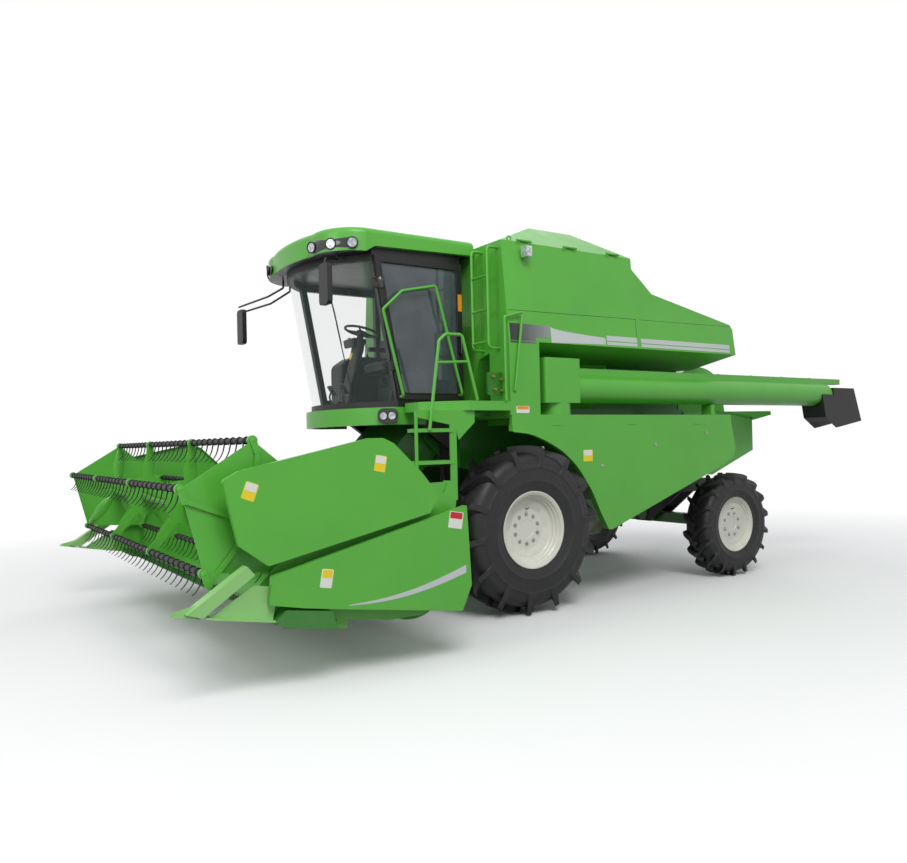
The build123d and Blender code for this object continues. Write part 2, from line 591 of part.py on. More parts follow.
save(tank_cover_right.part, "tank_cover_right")

# Side panels and shelves
PANEL_DEPTH = 60.0                # depth of the rolled edge of a side panel
PANEL_HINGE = (BELT_HALF + 5, SHELF_LOW - 7)
PANEL_HINGE_R = 5.5
ARCH = [(205, SHELF_LOW - SEAT_GAP), (205, 1772), (0, 1752), (-200, 1680), (-400, 1580), (-598, 1418),
        (-795, 1155), (-915, 915), (-1016, 745)]
with BuildPart() as side_panel_left:
    with BuildSketch(across(BELT_HALF + 5)) as panel_outline:
        with BuildLine():
            Polyline(*ARCH, (-1075, 735), (-2890, 1350), (-3065, 1440), (-3110, 1530), (-3090, 1640),
                     (-3045, SHELF_LOW - SEAT_GAP), close=True)
        make_face()
    extrude(amount=PANEL_DEPTH)
    with BuildSketch(across(BELT_HALF + 5 - PANEL)):
        offset(panel_outline.sketch_local, amount=-PANEL)
    extrude(amount=PANEL_DEPTH, mode=Mode.SUBTRACT)
    # hinge bars along the upper edge
    for x in (-350.0, -1400.0, -2450.0):
        with BuildSketch(facing(x - 60)):
            with Locations((PANEL_HINGE[0], PANEL_HINGE[1])):
                Circle(PANEL_HINGE_R)
        extrude(amount=120)
with BuildPart() as side_panel_right:
    add(mirror(side_panel_left.part, about=Plane.XZ, mode=Mode.PRIVATE))
save(side_panel_left.part, "side_panel_left")
save(side_panel_right.part, "side_panel_right")

TURRET_R = 165.0
ELBOW_LOW = SHELF_TOP + 120.0
ELBOW_TOP = 2500.0
PIN_R = 45.0
with BuildPart() as side_shelves:
    for side in (-1, 1):
        with BuildSketch(facing(-3050)):
            with BuildLine():
                Polyline((side * BELT_HALF, SHELF_TOP), (side * BELT_HALF, SHELF_LOW),
                         (side * (BELT_HALF - 40), SHELF_LOW), (side * (BELT_HALF - 40), SHELF_TOP - 30),
                         (side * BODY_HALF, SHELF_TOP - 30), (side * BODY_HALF, SHELF_TOP), close=True)
            make_face()
        extrude(amount=3050 + 205)
        # brackets that hang the shelf from the body
        for x in (-60.0, -1000.0, -2000.0, -2900.0):
            with BuildSketch(across(side * (BELT_HALF - 40))):
                with Locations((x, SHELF_TOP - 60)):
                    Rectangle(50, 60)
            extrude(amount=side * (BELT_HALF - 40 - BODY_HALF))
    # turret under the unloading tube's elbow, with its pin, and the rest under the folded tube
    with BuildSketch(level(SHELF_TOP)):
        with Locations(SWING_AXIS):
            Circle(TURRET_R)
    extrude(amount=ELBOW_LOW - SEAT_GAP - SHELF_TOP)
    with BuildSketch(level(ELBOW_LOW - SEAT_GAP)):
        with Locations(SWING_AXIS):
            Circle(PIN_R)
    extrude(amount=200)
    with BuildSketch(level(SHELF_TOP)):
        with Locations((-2850, SWING_AXIS[1])):
            Rectangle(60, 140)
    extrude(amount=TUBE_Z - TUBE_R - SEAT_GAP - SHELF_TOP)
save(side_shelves.part, "side_shelves")

# Cab
CAB_HIGH = CAB_TOP - CAB_FLOOR
LEAN = (PILLAR_LEAN, 0, CAB_HIGH)
LEAN_LENGTH = hypot(PILLAR_LEAN, CAB_HIGH)
DOOR_T = 36.0
DOOR_OUT = CAB_HALF + SEAT_GAP    # inner face of the door, just outside the pillars
HINGE_PIN_R = 9.0
HINGE_Z = (2420.0, 3200.0)
# The hinge line leans forward with the pillar, so the open door sinks a little at its rear edge,
# and DOOR_LOW leaves it room above the platform.
HINGE_FOOT = Vector(FRONT_AXLE_X + PILLAR_FOOT + 10, DOOR_OUT + DOOR_T + 12, CAB_FLOOR)
HINGE_UP = Vector(*LEAN).normalized()
DOOR_LOW = CAB_FLOOR + 10


def hinge_line(z):
    """Point at height z of the line on which the left-hand door swings."""
    return HINGE_FOOT + HINGE_UP * ((z - HINGE_FOOT.Z) / HINGE_UP.Z)


def cab_plan(half, rear, foot, bulge):
    """Outline of the cab's plan: straight sides and rear, and a front that bulges forward."""
    Polyline((foot, half), (rear, half), (rear, -half), (foot, -half))
    ThreePointArc((foot, -half), (foot + bulge, 0), (foot, half))


with BuildPart() as cab_shell:
    # floor
    with BuildSketch(level(CAB_FLOOR - SILL_T)):
        with BuildLine():
            cab_plan(CAB_HALF, CAB_REAR, PILLAR_FOOT, WINDSHIELD_BULGE)
        make_face()
    extrude(amount=SILL_T)
    # threshold that the door closes against
    with BuildSketch(level(CAB_FLOOR)):
        with Locations(((CAB_REAR + PILLAR_FOOT) / 2, CAB_HALF - 15)):
            Rectangle(PILLAR_FOOT - CAB_REAR - 2 * PILLAR, 30)
    extrude(amount=35)
    # header frame under the roof
    with BuildSketch(level(CAB_TOP - SILL_T)):
        with BuildLine():
            cab_plan(CAB_HALF, CAB_REAR, PILLAR_FOOT + PILLAR_LEAN, WINDSHIELD_BULGE)
        make_face()
        with BuildLine():
            cab_plan(CAB_HALF - PILLAR, CAB_REAR + PILLAR, PILLAR_FOOT + PILLAR_LEAN - 20, WINDSHIELD_BULGE - 55)
        make_face(mode=Mode.SUBTRACT)
    extrude(amount=SILL_T)
    for side in (-1, 1):
        # upright rear pillar
        with BuildSketch(level(CAB_FLOOR)):
            with Locations((CAB_REAR + PILLAR / 2, side * (CAB_HALF - PILLAR / 2))):
                Rectangle(PILLAR, PILLAR)
        extrude(amount=CAB_HIGH)
        # leaning front pillar
        with BuildSketch(across(side * CAB_HALF if side > 0 else -CAB_HALF + PILLAR)):
            with BuildLine():
                Polyline((PILLAR_FOOT - PILLAR, CAB_FLOOR), (PILLAR_FOOT, CAB_FLOOR),
                         (PILLAR_FOOT + PILLAR_LEAN, CAB_TOP), (PILLAR_FOOT + PILLAR_LEAN - PILLAR, CAB_TOP),
                         close=True)
            make_face()
        extrude(amount=PILLAR)
    # hinge pins of the left-hand door, each held by two ears on the front pillar
    for z in HINGE_Z:
        pin = hinge_line(z)
        with BuildSketch(Plane(origin=pin - HINGE_UP * 46, z_dir=HINGE_UP)):
            Circle(HINGE_PIN_R)
        extrude(amount=92)
        for low in (-46, 34):
            foot = pin + HINGE_UP * low
            with BuildSketch(Plane(origin=foot, x_dir=(1, 0, 0), z_dir=(0, 0, 1))):
                with BuildLine():
                    Polyline((-HINGE_PIN_R - 3, HINGE_PIN_R + 3), (-HINGE_PIN_R - 3, -HINGE_PIN_R - 2), (0, -HINGE_PIN_R - 2),
                             (0, CAB_HALF - 4 - foot.Y), (34, CAB_HALF - 4 - foot.Y), (34, -HINGE_PIN_R),
                             (HINGE_PIN_R + 3, HINGE_PIN_R + 3), close=True)
                make_face()
            extrude(amount=12)
    # lower rear wall and low right-hand wall
    with BuildSketch(facing(CAB_REAR)):
        with Locations((0, CAB_FLOOR + 400)):
            Rectangle(2 * (CAB_HALF - PILLAR), 800)
    extrude(amount=30)
    with BuildSketch(across(-CAB_HALF + 30)):
        with BuildLine():
            Polyline((CAB_REAR + PILLAR, CAB_FLOOR), (PILLAR_FOOT - PILLAR, CAB_FLOOR),
                     (PILLAR_FOOT - PILLAR + 18, CAB_FLOOR + 100), (CAB_REAR + PILLAR, CAB_FLOOR + 100), close=True)
        make_face()
    extrude(amount=30)
save(cab_shell.part, "cab_shell")

with BuildPart() as cab_windows:
    # curved windshield between the front pillars, leaning with them
    with BuildSketch(level(CAB_FLOOR)):
        with BuildLine():
            ThreePointArc((PILLAR_FOOT, -CAB_HALF + 3), (PILLAR_FOOT + WINDSHIELD_BULGE, 0), (PILLAR_FOOT, CAB_HALF - 3))
            Line((PILLAR_FOOT, CAB_HALF - 3), (PILLAR_FOOT, CAB_HALF - 11))
            ThreePointArc((PILLAR_FOOT, CAB_HALF - 11), (PILLAR_FOOT + WINDSHIELD_BULGE - GLASS, 0),
                          (PILLAR_FOOT, -CAB_HALF + 11))
            Line((PILLAR_FOOT, -CAB_HALF + 11), (PILLAR_FOOT, -CAB_HALF + 3))
        make_face()
    extrude(amount=LEAN_LENGTH * (CAB_HIGH - SILL_T) / CAB_HIGH, dir=Vector(*LEAN).normalized())
    # right-hand side window
    with BuildSketch(across(-CAB_HALF + 12 + GLASS)):
        with BuildLine():
            Polyline((CAB_REAR + PILLAR, CAB_FLOOR + 100), (PILLAR_FOOT - PILLAR + 18, CAB_FLOOR + 100),
                     (PILLAR_FOOT - PILLAR + PILLAR_LEAN - 11, CAB_TOP - SILL_T), (CAB_REAR + PILLAR, CAB_TOP - SILL_T),
                     close=True)
        make_face()
    extrude(amount=GLASS)
    # rear window
    with BuildSketch(facing(CAB_REAR + 12)):
        with Locations((0, (CAB_FLOOR + 800 + CAB_TOP - SILL_T) / 2)):
            Rectangle(2 * (CAB_HALF - PILLAR), CAB_TOP - SILL_T - CAB_FLOOR - 800)
    extrude(amount=GLASS)
save(cab_windows.part, "cab_windows")

# work lamps in the roof's brow: x, y and how far each looks outwards, for both sides
ROOF_LAMPS = [(1560.0, 905.0, 62.0), (1700.0, 765.0, 42.0), (1792.0, 560.0, 20.0)]
LAMP_R = 52.0
LAMP_Z = 3545.0


def lamp_plane(x, y, yaw, side):
    """Plane of a roof lamp's glass."""
    look = Vector(cos(radians(yaw)), side * sin(radians(yaw)), 0)
    return Plane(origin=(FRONT_AXLE_X + x, side * y, LAMP_Z), x_dir=(0, 0, 1), z_dir=look)


def headlamp_plane(side):
    """Plane of a headlamp's glass at the end of the bumper band."""
    return Plane(origin=(FRONT_AXLE_X + 1205, side * 872, 1944), x_dir=(-0.78, side * 0.6258, 0),
                 z_dir=(0.6258, side * 0.78, 0))


ROOF_LOW = CAB_TOP
ROOF_TOP = 3700.0
with BuildPart() as cab_roof:
    with BuildSketch(level(ROOF_LOW)):
        with BuildLine():
            Polyline((1450, 960), (230, 960), (230, -960), (1450, -960))
            ThreePointArc((1450, -960), (1690, -820), (1790, -500))
            ThreePointArc((1790, -500), (1850, 0), (1790, 500))
            ThreePointArc((1790, 500), (1690, 820), (1450, 960))
        make_face()
    extrude(amount=ROOF_TOP - ROOF_LOW)
    fillet(cab_roof.edges().group_by(Axis.Z)[-1], 55)
    # the roof's top falls a little to the front and its brow hangs lower there
    with BuildSketch(across(1000)):
        with BuildLine():
            Polyline((100, ROOF_LOW + 90), (1350, ROOF_LOW + 60), (1450, ROOF_LOW - 1), (100, ROOF_LOW - 1), close=True)
        make_face()
    extrude(amount=2000, mode=Mode.SUBTRACT)
    for side in (-1, 1):
        for x, y, yaw in ROOF_LAMPS:
            with BuildSketch(lamp_plane(x, y, yaw, side).offset(-40)):
                Circle(LAMP_R + SEAT_GAP)
            extrude(amount=90, mode=Mode.SUBTRACT)
    # headliner block that closes the roof onto the cab frame
    with BuildSketch(level(ROOF_LOW)):
        with BuildLine():
            cab_plan(CAB_HALF, CAB_REAR, PILLAR_FOOT + PILLAR_LEAN, WINDSHIELD_BULGE)
        make_face()
    extrude(amount=100)
save(cab_roof.part, "cab_roof")

BUMPER = (1860.0, 2028.0)         # lower and upper edge of the front bumper band
HEADLAMP = (150.0, 110.0, 40.0)   # width, height and corner radius
with BuildPart() as cab_bumper:
    with BuildSketch(level(BUMPER[0])):
        with BuildLine():
            cab_plan(CAB_HALF + 25, 800, PILLAR_FOOT + 40, WINDSHIELD_BULGE + 20)
        make_face()
        with BuildLine():
            cab_plan(CAB_HALF - 30, 700, PILLAR_FOOT - 10, WINDSHIELD_BULGE + 10)
        make_face(mode=Mode.SUBTRACT)
    extrude(amount=BUMPER[1] - BUMPER[0])
    for side in (-1, 1):
        with BuildSketch(headlamp_plane(side).offset(-80)):
            RectangleRounded(HEADLAMP[0] + 2 * SEAT_GAP, HEADLAMP[1] + 2 * SEAT_GAP, HEADLAMP[2] + SEAT_GAP)
        extrude(amount=160, mode=Mode.SUBTRACT)
    # brackets up to the cab floor
    for side in (-1, 1):
        with BuildSketch(level(BUMPER[1])):
            with Locations((880, side * (CAB_HALF - 30)), (1300, side * 620)):
                Rectangle(80, 60)
        extrude(amount=CAB_FLOOR - SILL_T - BUMPER[1])
save(cab_bumper.part, "cab_bumper")

with BuildPart() as operator_seat:
    with BuildSketch(level(CAB_FLOOR)):
        with Locations((640, 0)):
            RectangleRounded(300, 320, 30)
    extrude(amount=330)
    with BuildSketch(level(CAB_FLOOR + 330)):
        with Locations((670, 0)):
            RectangleRounded(500, 520, 70)
    extrude(amount=130)
    with BuildSketch(across(250)):
        with BuildLine():
            Polyline((400, CAB_FLOOR + 440), (520, CAB_FLOOR + 440), (490, CAB_FLOOR + 1030), (400, CAB_FLOOR + 1060),
                     close=True)
        make_face()
    extrude(amount=500)
save(operator_seat.part, "operator_seat")

column = Plane(origin=(FRONT_AXLE_X + 1220, 0, CAB_FLOOR + 30), x_dir=(0, 1, 0), z_dir=(-0.257, 0, 0.966))
with BuildPart() as steering_console:
    with BuildSketch(level(CAB_FLOOR)):
        with Locations((1220, 0)):
            RectangleRounded(190, 240, 40)
    extrude(amount=70)
    with BuildSketch(column):
        RectangleRounded(190, 140, 40)
    extrude(amount=570, taper=3)
    with BuildSketch(column.offset(560)):
        Circle(24)
    extrude(amount=225)
    with BuildSketch(column.offset(770)):
        Circle(190)
        Circle(168, mode=Mode.SUBTRACT)
        Rectangle(350, 26)
        Rectangle(26, 350)
        Circle(40)
    extrude(amount=22)
    # side console with three levers, on the operator's right
    with BuildSketch(level(CAB_FLOOR)):
        with Locations((800, -480)):
            RectangleRounded(620, 260, 50)
    extrude(amount=560)
    for x in (720.0, 810.0, 900.0):
        with BuildSketch(level(CAB_FLOOR + 560)):
            with Locations((x, -460)):
                Circle(9)
        extrude(amount=170)
        with BuildSketch(level(CAB_FLOOR + 720)):
            with Locations((x, -460)):
                Circle(24)
        extrude(amount=60, taper=8)
save(steering_console.part, "steering_console")

# Left-hand door, hinged along the leaning front pillar
DOOR_REAR = CAB_REAR + 6
DOOR_FRAME = 58.0
with BuildPart() as cab_door:
    with BuildSketch(across(DOOR_OUT + DOOR_T)) as door_outline:
        with BuildLine():
            Polyline((DOOR_REAR, DOOR_LOW), (PILLAR_FOOT - 6, DOOR_LOW),
                     (PILLAR_FOOT + PILLAR_LEAN - 8, CAB_TOP - 10), (DOOR_REAR, CAB_TOP - 10), close=True)
        make_face()
        offset(amount=-DOOR_FRAME, mode=Mode.SUBTRACT)
    extrude(amount=DOOR_T)
    # knuckles that turn on the pillar's pins, with their straps on the door frame
    for z in HINGE_Z:
        knuckle = hinge_line(z) - HINGE_UP * 30
        with BuildSketch(Plane(origin=knuckle, x_dir=(1, 0, 0), z_dir=HINGE_UP)):
            Circle(HINGE_PIN_R + 8)
            with Locations((-36, -8)):
                Rectangle(72, 10)
            Circle(HINGE_PIN_R + RUNNING_CLEARANCE, mode=Mode.SUBTRACT)
        extrude(amount=60)
    # latch
    with BuildSketch(across(DOOR_OUT + DOOR_T + 30)):
        with Locations((DOOR_REAR + 40, 2640)):
            RectangleRounded(40, 150, 12)
    extrude(amount=32)
save(cab_door.part, "cab_door")
with BuildPart() as door_glass:
    with BuildSketch(across(DOOR_OUT + DOOR_T / 2 + GLASS / 2)):
        with BuildLine():
            Polyline((DOOR_REAR, DOOR_LOW), (PILLAR_FOOT - 6, DOOR_LOW),
                     (PILLAR_FOOT + PILLAR_LEAN - 8, CAB_TOP - 10), (DOOR_REAR, CAB_TOP - 10), close=True)
        make_face()
        offset(amount=-DOOR_FRAME, mode=Mode.REPLACE)
    extrude(amount=GLASS)
save(door_glass.part, "door_glass")
RAIL_R = 14.0
with BuildPart() as door_rail:
    with BuildLine():
        door_path = FilletPolyline(
            (FRONT_AXLE_X + 1085, DOOR_OUT + DOOR_T, 2125), (FRONT_AXLE_X + 1085, DOOR_OUT + DOOR_T + 55, 2125),
            (FRONT_AXLE_X + 1290, DOOR_OUT + DOOR_T + 55, 2940), (FRONT_AXLE_X + 1080, DOOR_OUT + DOOR_T + 55, 3130),
            (FRONT_AXLE_X + 700, DOOR_OUT + DOOR_T + 55, 3210), (FRONT_AXLE_X + 410, DOOR_OUT + DOOR_T + 55, 2150),
            (FRONT_AXLE_X + 410, DOOR_OUT + DOOR_T, 2150), radius=30)
    with BuildSketch(Plane(origin=door_path @ 0, z_dir=door_path % 0)):
        Circle(RAIL_R)
    sweep(path=door_path)
save(door_rail.part, "door_rail")

# Platform, ladders and rails


def bent_tube(points, radius, bend=60.0):
    """A bent tube through points (x from the front axle, y, z)."""
    placed = [(FRONT_AXLE_X + x, y, z) for x, y, z in points]
    with BuildPart() as tube:
        with BuildLine() as run:
            if len(placed) > 2:
                FilletPolyline(*placed, radius=bend)
            else:
                Line(*placed)
        with BuildSketch(Plane(origin=run.line @ 0, z_dir=run.line % 0)):
            Circle(radius)
        sweep(path=run.line)
    return tube.part


PLATFORM_TOP = 2060.0
PLATFORM_T = 90.0
PLATFORM_IN = CAB_HALF + 50.0
LADDER_Y = 1460.0
LADDER_X = (860.0, 1250.0)
STEPS = (1210.0, 1500.0, 1790.0)
with BuildPart() as platform:
    with BuildSketch(level(PLATFORM_TOP - PLATFORM_T)):
        with BuildLine():
            Polyline((TANK_FRONT + 1, PLATFORM_IN), (TANK_FRONT + 1, BELT_HALF), (700, BELT_HALF),
                     (LADDER_X[0], 1400), (LADDER_X[0] + 190, 1180), (LADDER_X[0] + 190, PLATFORM_IN), close=True)
        make_face()
    extrude(amount=PLATFORM_T)
    with BuildSketch(level(PLATFORM_TOP - PLATFORM_T)):
        with BuildLine():
            Polyline((TANK_FRONT + 7, PLATFORM_IN + 6), (TANK_FRONT + 7, BELT_HALF - 6), (697, BELT_HALF - 6),
                     (LADDER_X[0] - 6, 1393), (LADDER_X[0] + 184, 1177), (LADDER_X[0] + 184, PLATFORM_IN + 6),
                     close=True)
        make_face()
    extrude(amount=PLATFORM_T - 8, mode=Mode.SUBTRACT)
    # beams that carry the platform from the cab's arms
    for x in (440.0, 740.0):
        with BuildSketch(across(735)):
            with Locations((x, PLATFORM_TOP - PLATFORM_T + 15)):
                Rectangle(60, 60)
        extrude(amount=-(1150 - 735))
save(platform.part, "platform")

with BuildPart() as access_ladder:
    # flat rear stile, round front stile and treads between them
    with BuildSketch(level(1150)):
        with Locations((LADDER_X[0], LADDER_Y)):
            Rectangle(70, 16)
    extrude(amount=PLATFORM_TOP - PLATFORM_T - 20 - 1150)
    with BuildSketch(level(1150)):
        with Locations((LADDER_X[1], LADDER_Y)):
            Circle(16)
    extrude(amount=PLATFORM_TOP - PLATFORM_T - 20 - 1150)
    for z in STEPS:
        with BuildSketch(across(LADDER_Y + 18)):
            with Locations(((LADDER_X[0] + LADDER_X[1]) / 2, z)):
                Rectangle(LADDER_X[1] - LADDER_X[0], 34)
        extrude(amount=170)
    # bracket from the top of the ladder to the platform
    with BuildSketch(across(LADDER_Y + 8)):
        with BuildLine():
            Polyline((LADDER_X[0] - 240, PLATFORM_TOP - PLATFORM_T), (LADDER_X[1] + 16, PLATFORM_TOP - PLATFORM_T),
                     (LADDER_X[1] + 16, PLATFORM_TOP - PLATFORM_T - 60), (LADDER_X[0] - 20, 1830),
                     (LADDER_X[0] - 60, 1700), (LADDER_X[0] - 240, 1860), close=True)
        make_face()
    extrude(amount=14)
    with BuildSketch(level(PLATFORM_TOP - PLATFORM_T - 8)):
        with Locations((LADDER_X[0] + 60, 1310)):
            Rectangle(360, 300)
    extrude(amount=8)
save(access_ladder.part, "access_ladder")

HAND_R = 15.0
HAND_Y = LADDER_Y + 18 + HAND_R + 1
# hoop beside the ladder head with its middle bar, and the grab rail at the tank's front corner
rail_tubes = [
    bent_tube([(1130, HAND_Y, 1790), (1010, HAND_Y, 2600), (940, HAND_Y, 2660), (760, HAND_Y, 2665),
               (600, HAND_Y, PLATFORM_TOP + 5)], HAND_R, 40),
    bent_tube([(1035, HAND_Y, 2400), (690, HAND_Y, 2420)], HAND_R - 3),
    bent_tube([(1110, LADDER_Y + 8, 1925), (1110, HAND_Y, 1925)], HAND_R - 5),
    bent_tube([(TANK_FRONT + 60, 1515, 2062), (TANK_FRONT + 60, 1515, 2860), (60, 1515, 2920), (170, 1515, 2160),
               (170, BELT_HALF, 2160)], HAND_R - 2, 12),
]
with BuildPart() as handrails:
    add(rail_tubes)
save(handrails.part, "handrails")

TANK_LADDER_X = TANK_FRONT + 130.0
stile_tubes = [
    bent_tube([(TANK_FRONT, y, 2580), (TANK_LADDER_X, y, 2580), (TANK_LADDER_X, y, 3560), (TANK_FRONT, y, 3560)],
              HAND_R - 1, 45)
    for y in (1090.0, 1350.0)
]
rung_tubes = [
    bent_tube([(TANK_LADDER_X, 1090, z), (TANK_LADDER_X, 1350, z)], HAND_R - 3)
    for z in (2640.0, 2950.0, 3280.0)
]
with BuildPart() as tank_ladder:
    add(stile_tubes)
    add(rung_tubes)
save(tank_ladder.part, "tank_ladder")

# right-hand mirror on two rods from the roof's front corner, left-hand mirror under the roof
mirror_rods = [
    bent_tube([(1600, -700, ROOF_LOW), (1600, -700, 3400), (1700, -900, 3330), (1760, -1690, 3330)], 11, 25),
    bent_tube([(1500, -760, ROOF_LOW), (1500, -760, 3380), (1660, -930, 3260), (1750, -1690, 3260)], 11, 25),
    bent_tube([(1620, 700, ROOF_LOW), (1620, 700, 3420), (1790, 800, 3400), (1790, 800, 3300)], 11, 20),
]
with BuildPart() as mirrors:
    add(mirror_rods)
    with BuildSketch(facing(1740)):
        with Locations((-1590, 3080)):
            RectangleRounded(190, 400, 40)
    extrude(amount=50)
    with BuildSketch(facing(1765)):
        with Locations((800, 3160)):
            RectangleRounded(190, 380, 40)
    extrude(amount=50)
save(mirrors.part, "mirrors")

with BuildPart() as lamps:
    for side in (-1, 1):
        for x, y, yaw in ROOF_LAMPS:
            with BuildSketch(lamp_plane(x, y, yaw, side).offset(-40)):
                Circle(LAMP_R)
            extrude(amount=40)
        with BuildSketch(headlamp_plane(side).offset(-30)):
            RectangleRounded(*HEADLAMP)
        extrude(amount=40)
    # work lamp on the tank's upper corner
    with BuildSketch(facing(-70)):
        with Locations((1478, 3520)):
            RectangleRounded(90, 110, 20)
    extrude(amount=70)
    with BuildSketch(facing(-60)):
        with Locations((1425, 3520)):
            Rectangle(24, 24)
    extrude(amount=30)
save(lamps.part, "lamps")

with BuildPart() as beacon:
    with BuildSketch(level(ROOF_TOP)):
        with Locations((1560, -250)):
            Circle(52)
    extrude(amount=26)
    with BuildSketch(level(ROOF_TOP + 26)):
        with Locations((1560, -250)):
            Circle(45)
    extrude(amount=105, taper=4)
save(beacon.part, "beacon")

# Unloading auger
OUTLET = (-5160.0, -4930.0)       # rear and front edge of the outlet under the tube's end
with BuildPart() as unloading_auger:
    with BuildSketch(level(ELBOW_LOW)):
        with Locations((SWING_AXIS[0], SWING_AXIS[1])):
            RectangleRounded(480, 320, 45)
    extrude(amount=ELBOW_TOP - ELBOW_LOW)
    with BuildSketch(facing(TUBE_END)):
        with Locations((SWING_AXIS[1], TUBE_Z)):
            Circle(TUBE_R)
    extrude(amount=SWING_AXIS[0] - 200 - TUBE_END)
    with BuildSketch(facing(TUBE_END + PANEL)):
        with Locations((SWING_AXIS[1], TUBE_Z)):
            Circle(TUBE_R - PANEL)
    extrude(amount=SWING_AXIS[0] - 240 - TUBE_END, mode=Mode.SUBTRACT)
    # hat channel along the top of the tube
    with BuildSketch(facing(-5520)):
        with Locations((SWING_AXIS[1], TUBE_Z + TUBE_R + 25)):
            Rectangle(100, 70)
    extrude(amount=5520 + SWING_AXIS[0] - 200)
    with BuildSketch(level(TUBE_Z - TUBE_R - 10)):
        with Locations(((OUTLET[0] + OUTLET[1]) / 2, SWING_AXIS[1])):
            Rectangle(OUTLET[1] - OUTLET[0], 190)
    extrude(amount=120, mode=Mode.SUBTRACT)
    with BuildSketch(level(ELBOW_LOW)):
        with Locations(SWING_AXIS):
            Circle(PIN_R + RUNNING_CLEARANCE)
    extrude(amount=200.5, mode=Mode.SUBTRACT)
save(unloading_auger.part, "unloading_auger")

BOOT_T = 10.0
BOOT_HALF = 160.0
with BuildPart() as auger_spout:
    with BuildSketch(across(SWING_AXIS[1] + BOOT_HALF)):
        with BuildLine():
            Polyline((-4930, 2200), (-5000, 1900), (-5240, 1760), (-5840, 1850), (-5670, 2290), (-5190, 2290),
                     (-5190, 2200), close=True)
        make_face()
    extrude(amount=2 * BOOT_HALF)
    with BuildSketch(across(SWING_AXIS[1] + BOOT_HALF - BOOT_T)):
        with BuildLine():
            Polyline((-4942, 2210), (-5009, 1905), (-5243, 1745), (-5851, 1836), (-5662, 2279), (-5190, 2279),
                     (-5190, 2210), close=True)
        make_face()
    extrude(amount=2 * (BOOT_HALF - BOOT_T), mode=Mode.SUBTRACT)
    with BuildSketch(facing(-5200)):
        with Locations((SWING_AXIS[1], TUBE_Z)):
            Circle(TUBE_R + SEAT_GAP)
    extrude(amount=320, mode=Mode.SUBTRACT)
save(auger_spout.part, "auger_spout")

# Feeder house
MOUTH = (370.0, 975.0)            # lower and upper edge of the header's crop opening
MOUTH_HALF = 500.0
BACK_X = 1300.0                   # rear face of the header's back sheet
SHAFT_HOLE = PIVOT_SHAFT_R + RUNNING_CLEARANCE
with BuildPart() as feeder_house:
    with BuildSketch(header_across(FEEDER_HALF)):
        with Locations(FEEDER_PIVOT):
            Circle(DRUM_R)
        with BuildLine():
            Polyline((FEEDER_PIVOT[0] - 150, FEEDER_PIVOT[1] - 139), (BACK_X, MOUTH[0] - 15),
                     (BACK_X, MOUTH[1] + 15), (FEEDER_PIVOT[0] + 170, FEEDER_PIVOT[1] + 112), close=True)
        make_face()
    extrude(amount=2 * FEEDER_HALF)
    with BuildSketch(header_across(FEEDER_HALF - SHEET)):
        with BuildLine():
            Polyline((FEEDER_PIVOT[0] + 20, FEEDER_PIVOT[1] - 300), (BACK_X + 1, MOUTH[0]),
                     (BACK_X + 1, MOUTH[1]), (FEEDER_PIVOT[0] + 330, FEEDER_PIVOT[1] - 100), close=True)
        make_face()
    extrude(amount=2 * (FEEDER_HALF - SHEET), mode=Mode.SUBTRACT)
    with BuildSketch(header_across(FEEDER_HALF)):
        with Locations(FEEDER_PIVOT):
            Circle(SHAFT_HOLE)
    extrude(amount=2 * FEEDER_HALF, mode=Mode.SUBTRACT)
    # ears under the feeder that hold the lift cylinders' upper pins
    for side in (-1, 1):
        for y in (LIFT_Y - 28.3 - 5, LIFT_Y + 28.3 + 5):
            with BuildSketch(header_across(side * y + 5)):
                with BuildLine():
                    Polyline((930, 880), (1190, 520), (LIFT_EYE[0] + 40, LIFT_EYE[1] - 30),
                             (LIFT_EYE[0] - 40, LIFT_EYE[1] - 30), close=True)
                make_face()
            extrude(amount=10)
        with BuildSketch(header_across(side * LIFT_Y + 38)):
            with Locations(LIFT_EYE):
                Circle(LIFT_PIN_R)
        extrude(amount=76)
save(feeder_house.part, "feeder_house")

# lift cylinders on both sides of the feeder house
LIFT_ROD_R = 25.0
EYE_SLACK = 12.0                  # the rod's eye lies open on its pin by this much all round
eye_x, eye_z = raised(*LIFT_EYE)
lift_length = hypot(eye_x - LIFT_BASE[0], eye_z - LIFT_BASE[1])
lift_angle = atan2(eye_z - LIFT_BASE[1], eye_x - LIFT_BASE[0])
lift_dir = Vector(cos(lift_angle), 0, sin(lift_angle))
lift_base = Vector(FRONT_AXLE_X + LIFT_BASE[0], 0, LIFT_BASE[1])
BARREL_LENGTH = 1080.0
with BuildPart() as lift_barrels:
    for side in (-1, 1):
        foot = lift_base + Vector(0, side * LIFT_Y, 0)
        with BuildSketch(Plane(origin=foot + Vector(0, 30, 0), x_dir=(1, 0, 0), z_dir=(0, -1, 0))):
            Circle(50)
        extrude(amount=60)
        with BuildSketch(Plane(origin=foot + lift_dir * 30, z_dir=lift_dir)):
            Circle(LIFT_BARREL_R)
        extrude(amount=BARREL_LENGTH - 30)
        with BuildSketch(Plane(origin=foot + lift_dir * 200, z_dir=lift_dir)):
            Circle(LIFT_ROD_R + RUNNING_CLEARANCE)
        extrude(amount=BARREL_LENGTH, mode=Mode.SUBTRACT)
        with BuildSketch(Plane(origin=foot + Vector(0, 31, 0), x_dir=(1, 0, 0), z_dir=(0, -1, 0))):
            Circle(LIFT_PIN_R + RUNNING_CLEARANCE)
        extrude(amount=62, mode=Mode.SUBTRACT)
save(lift_barrels.part, "lift_barrels")
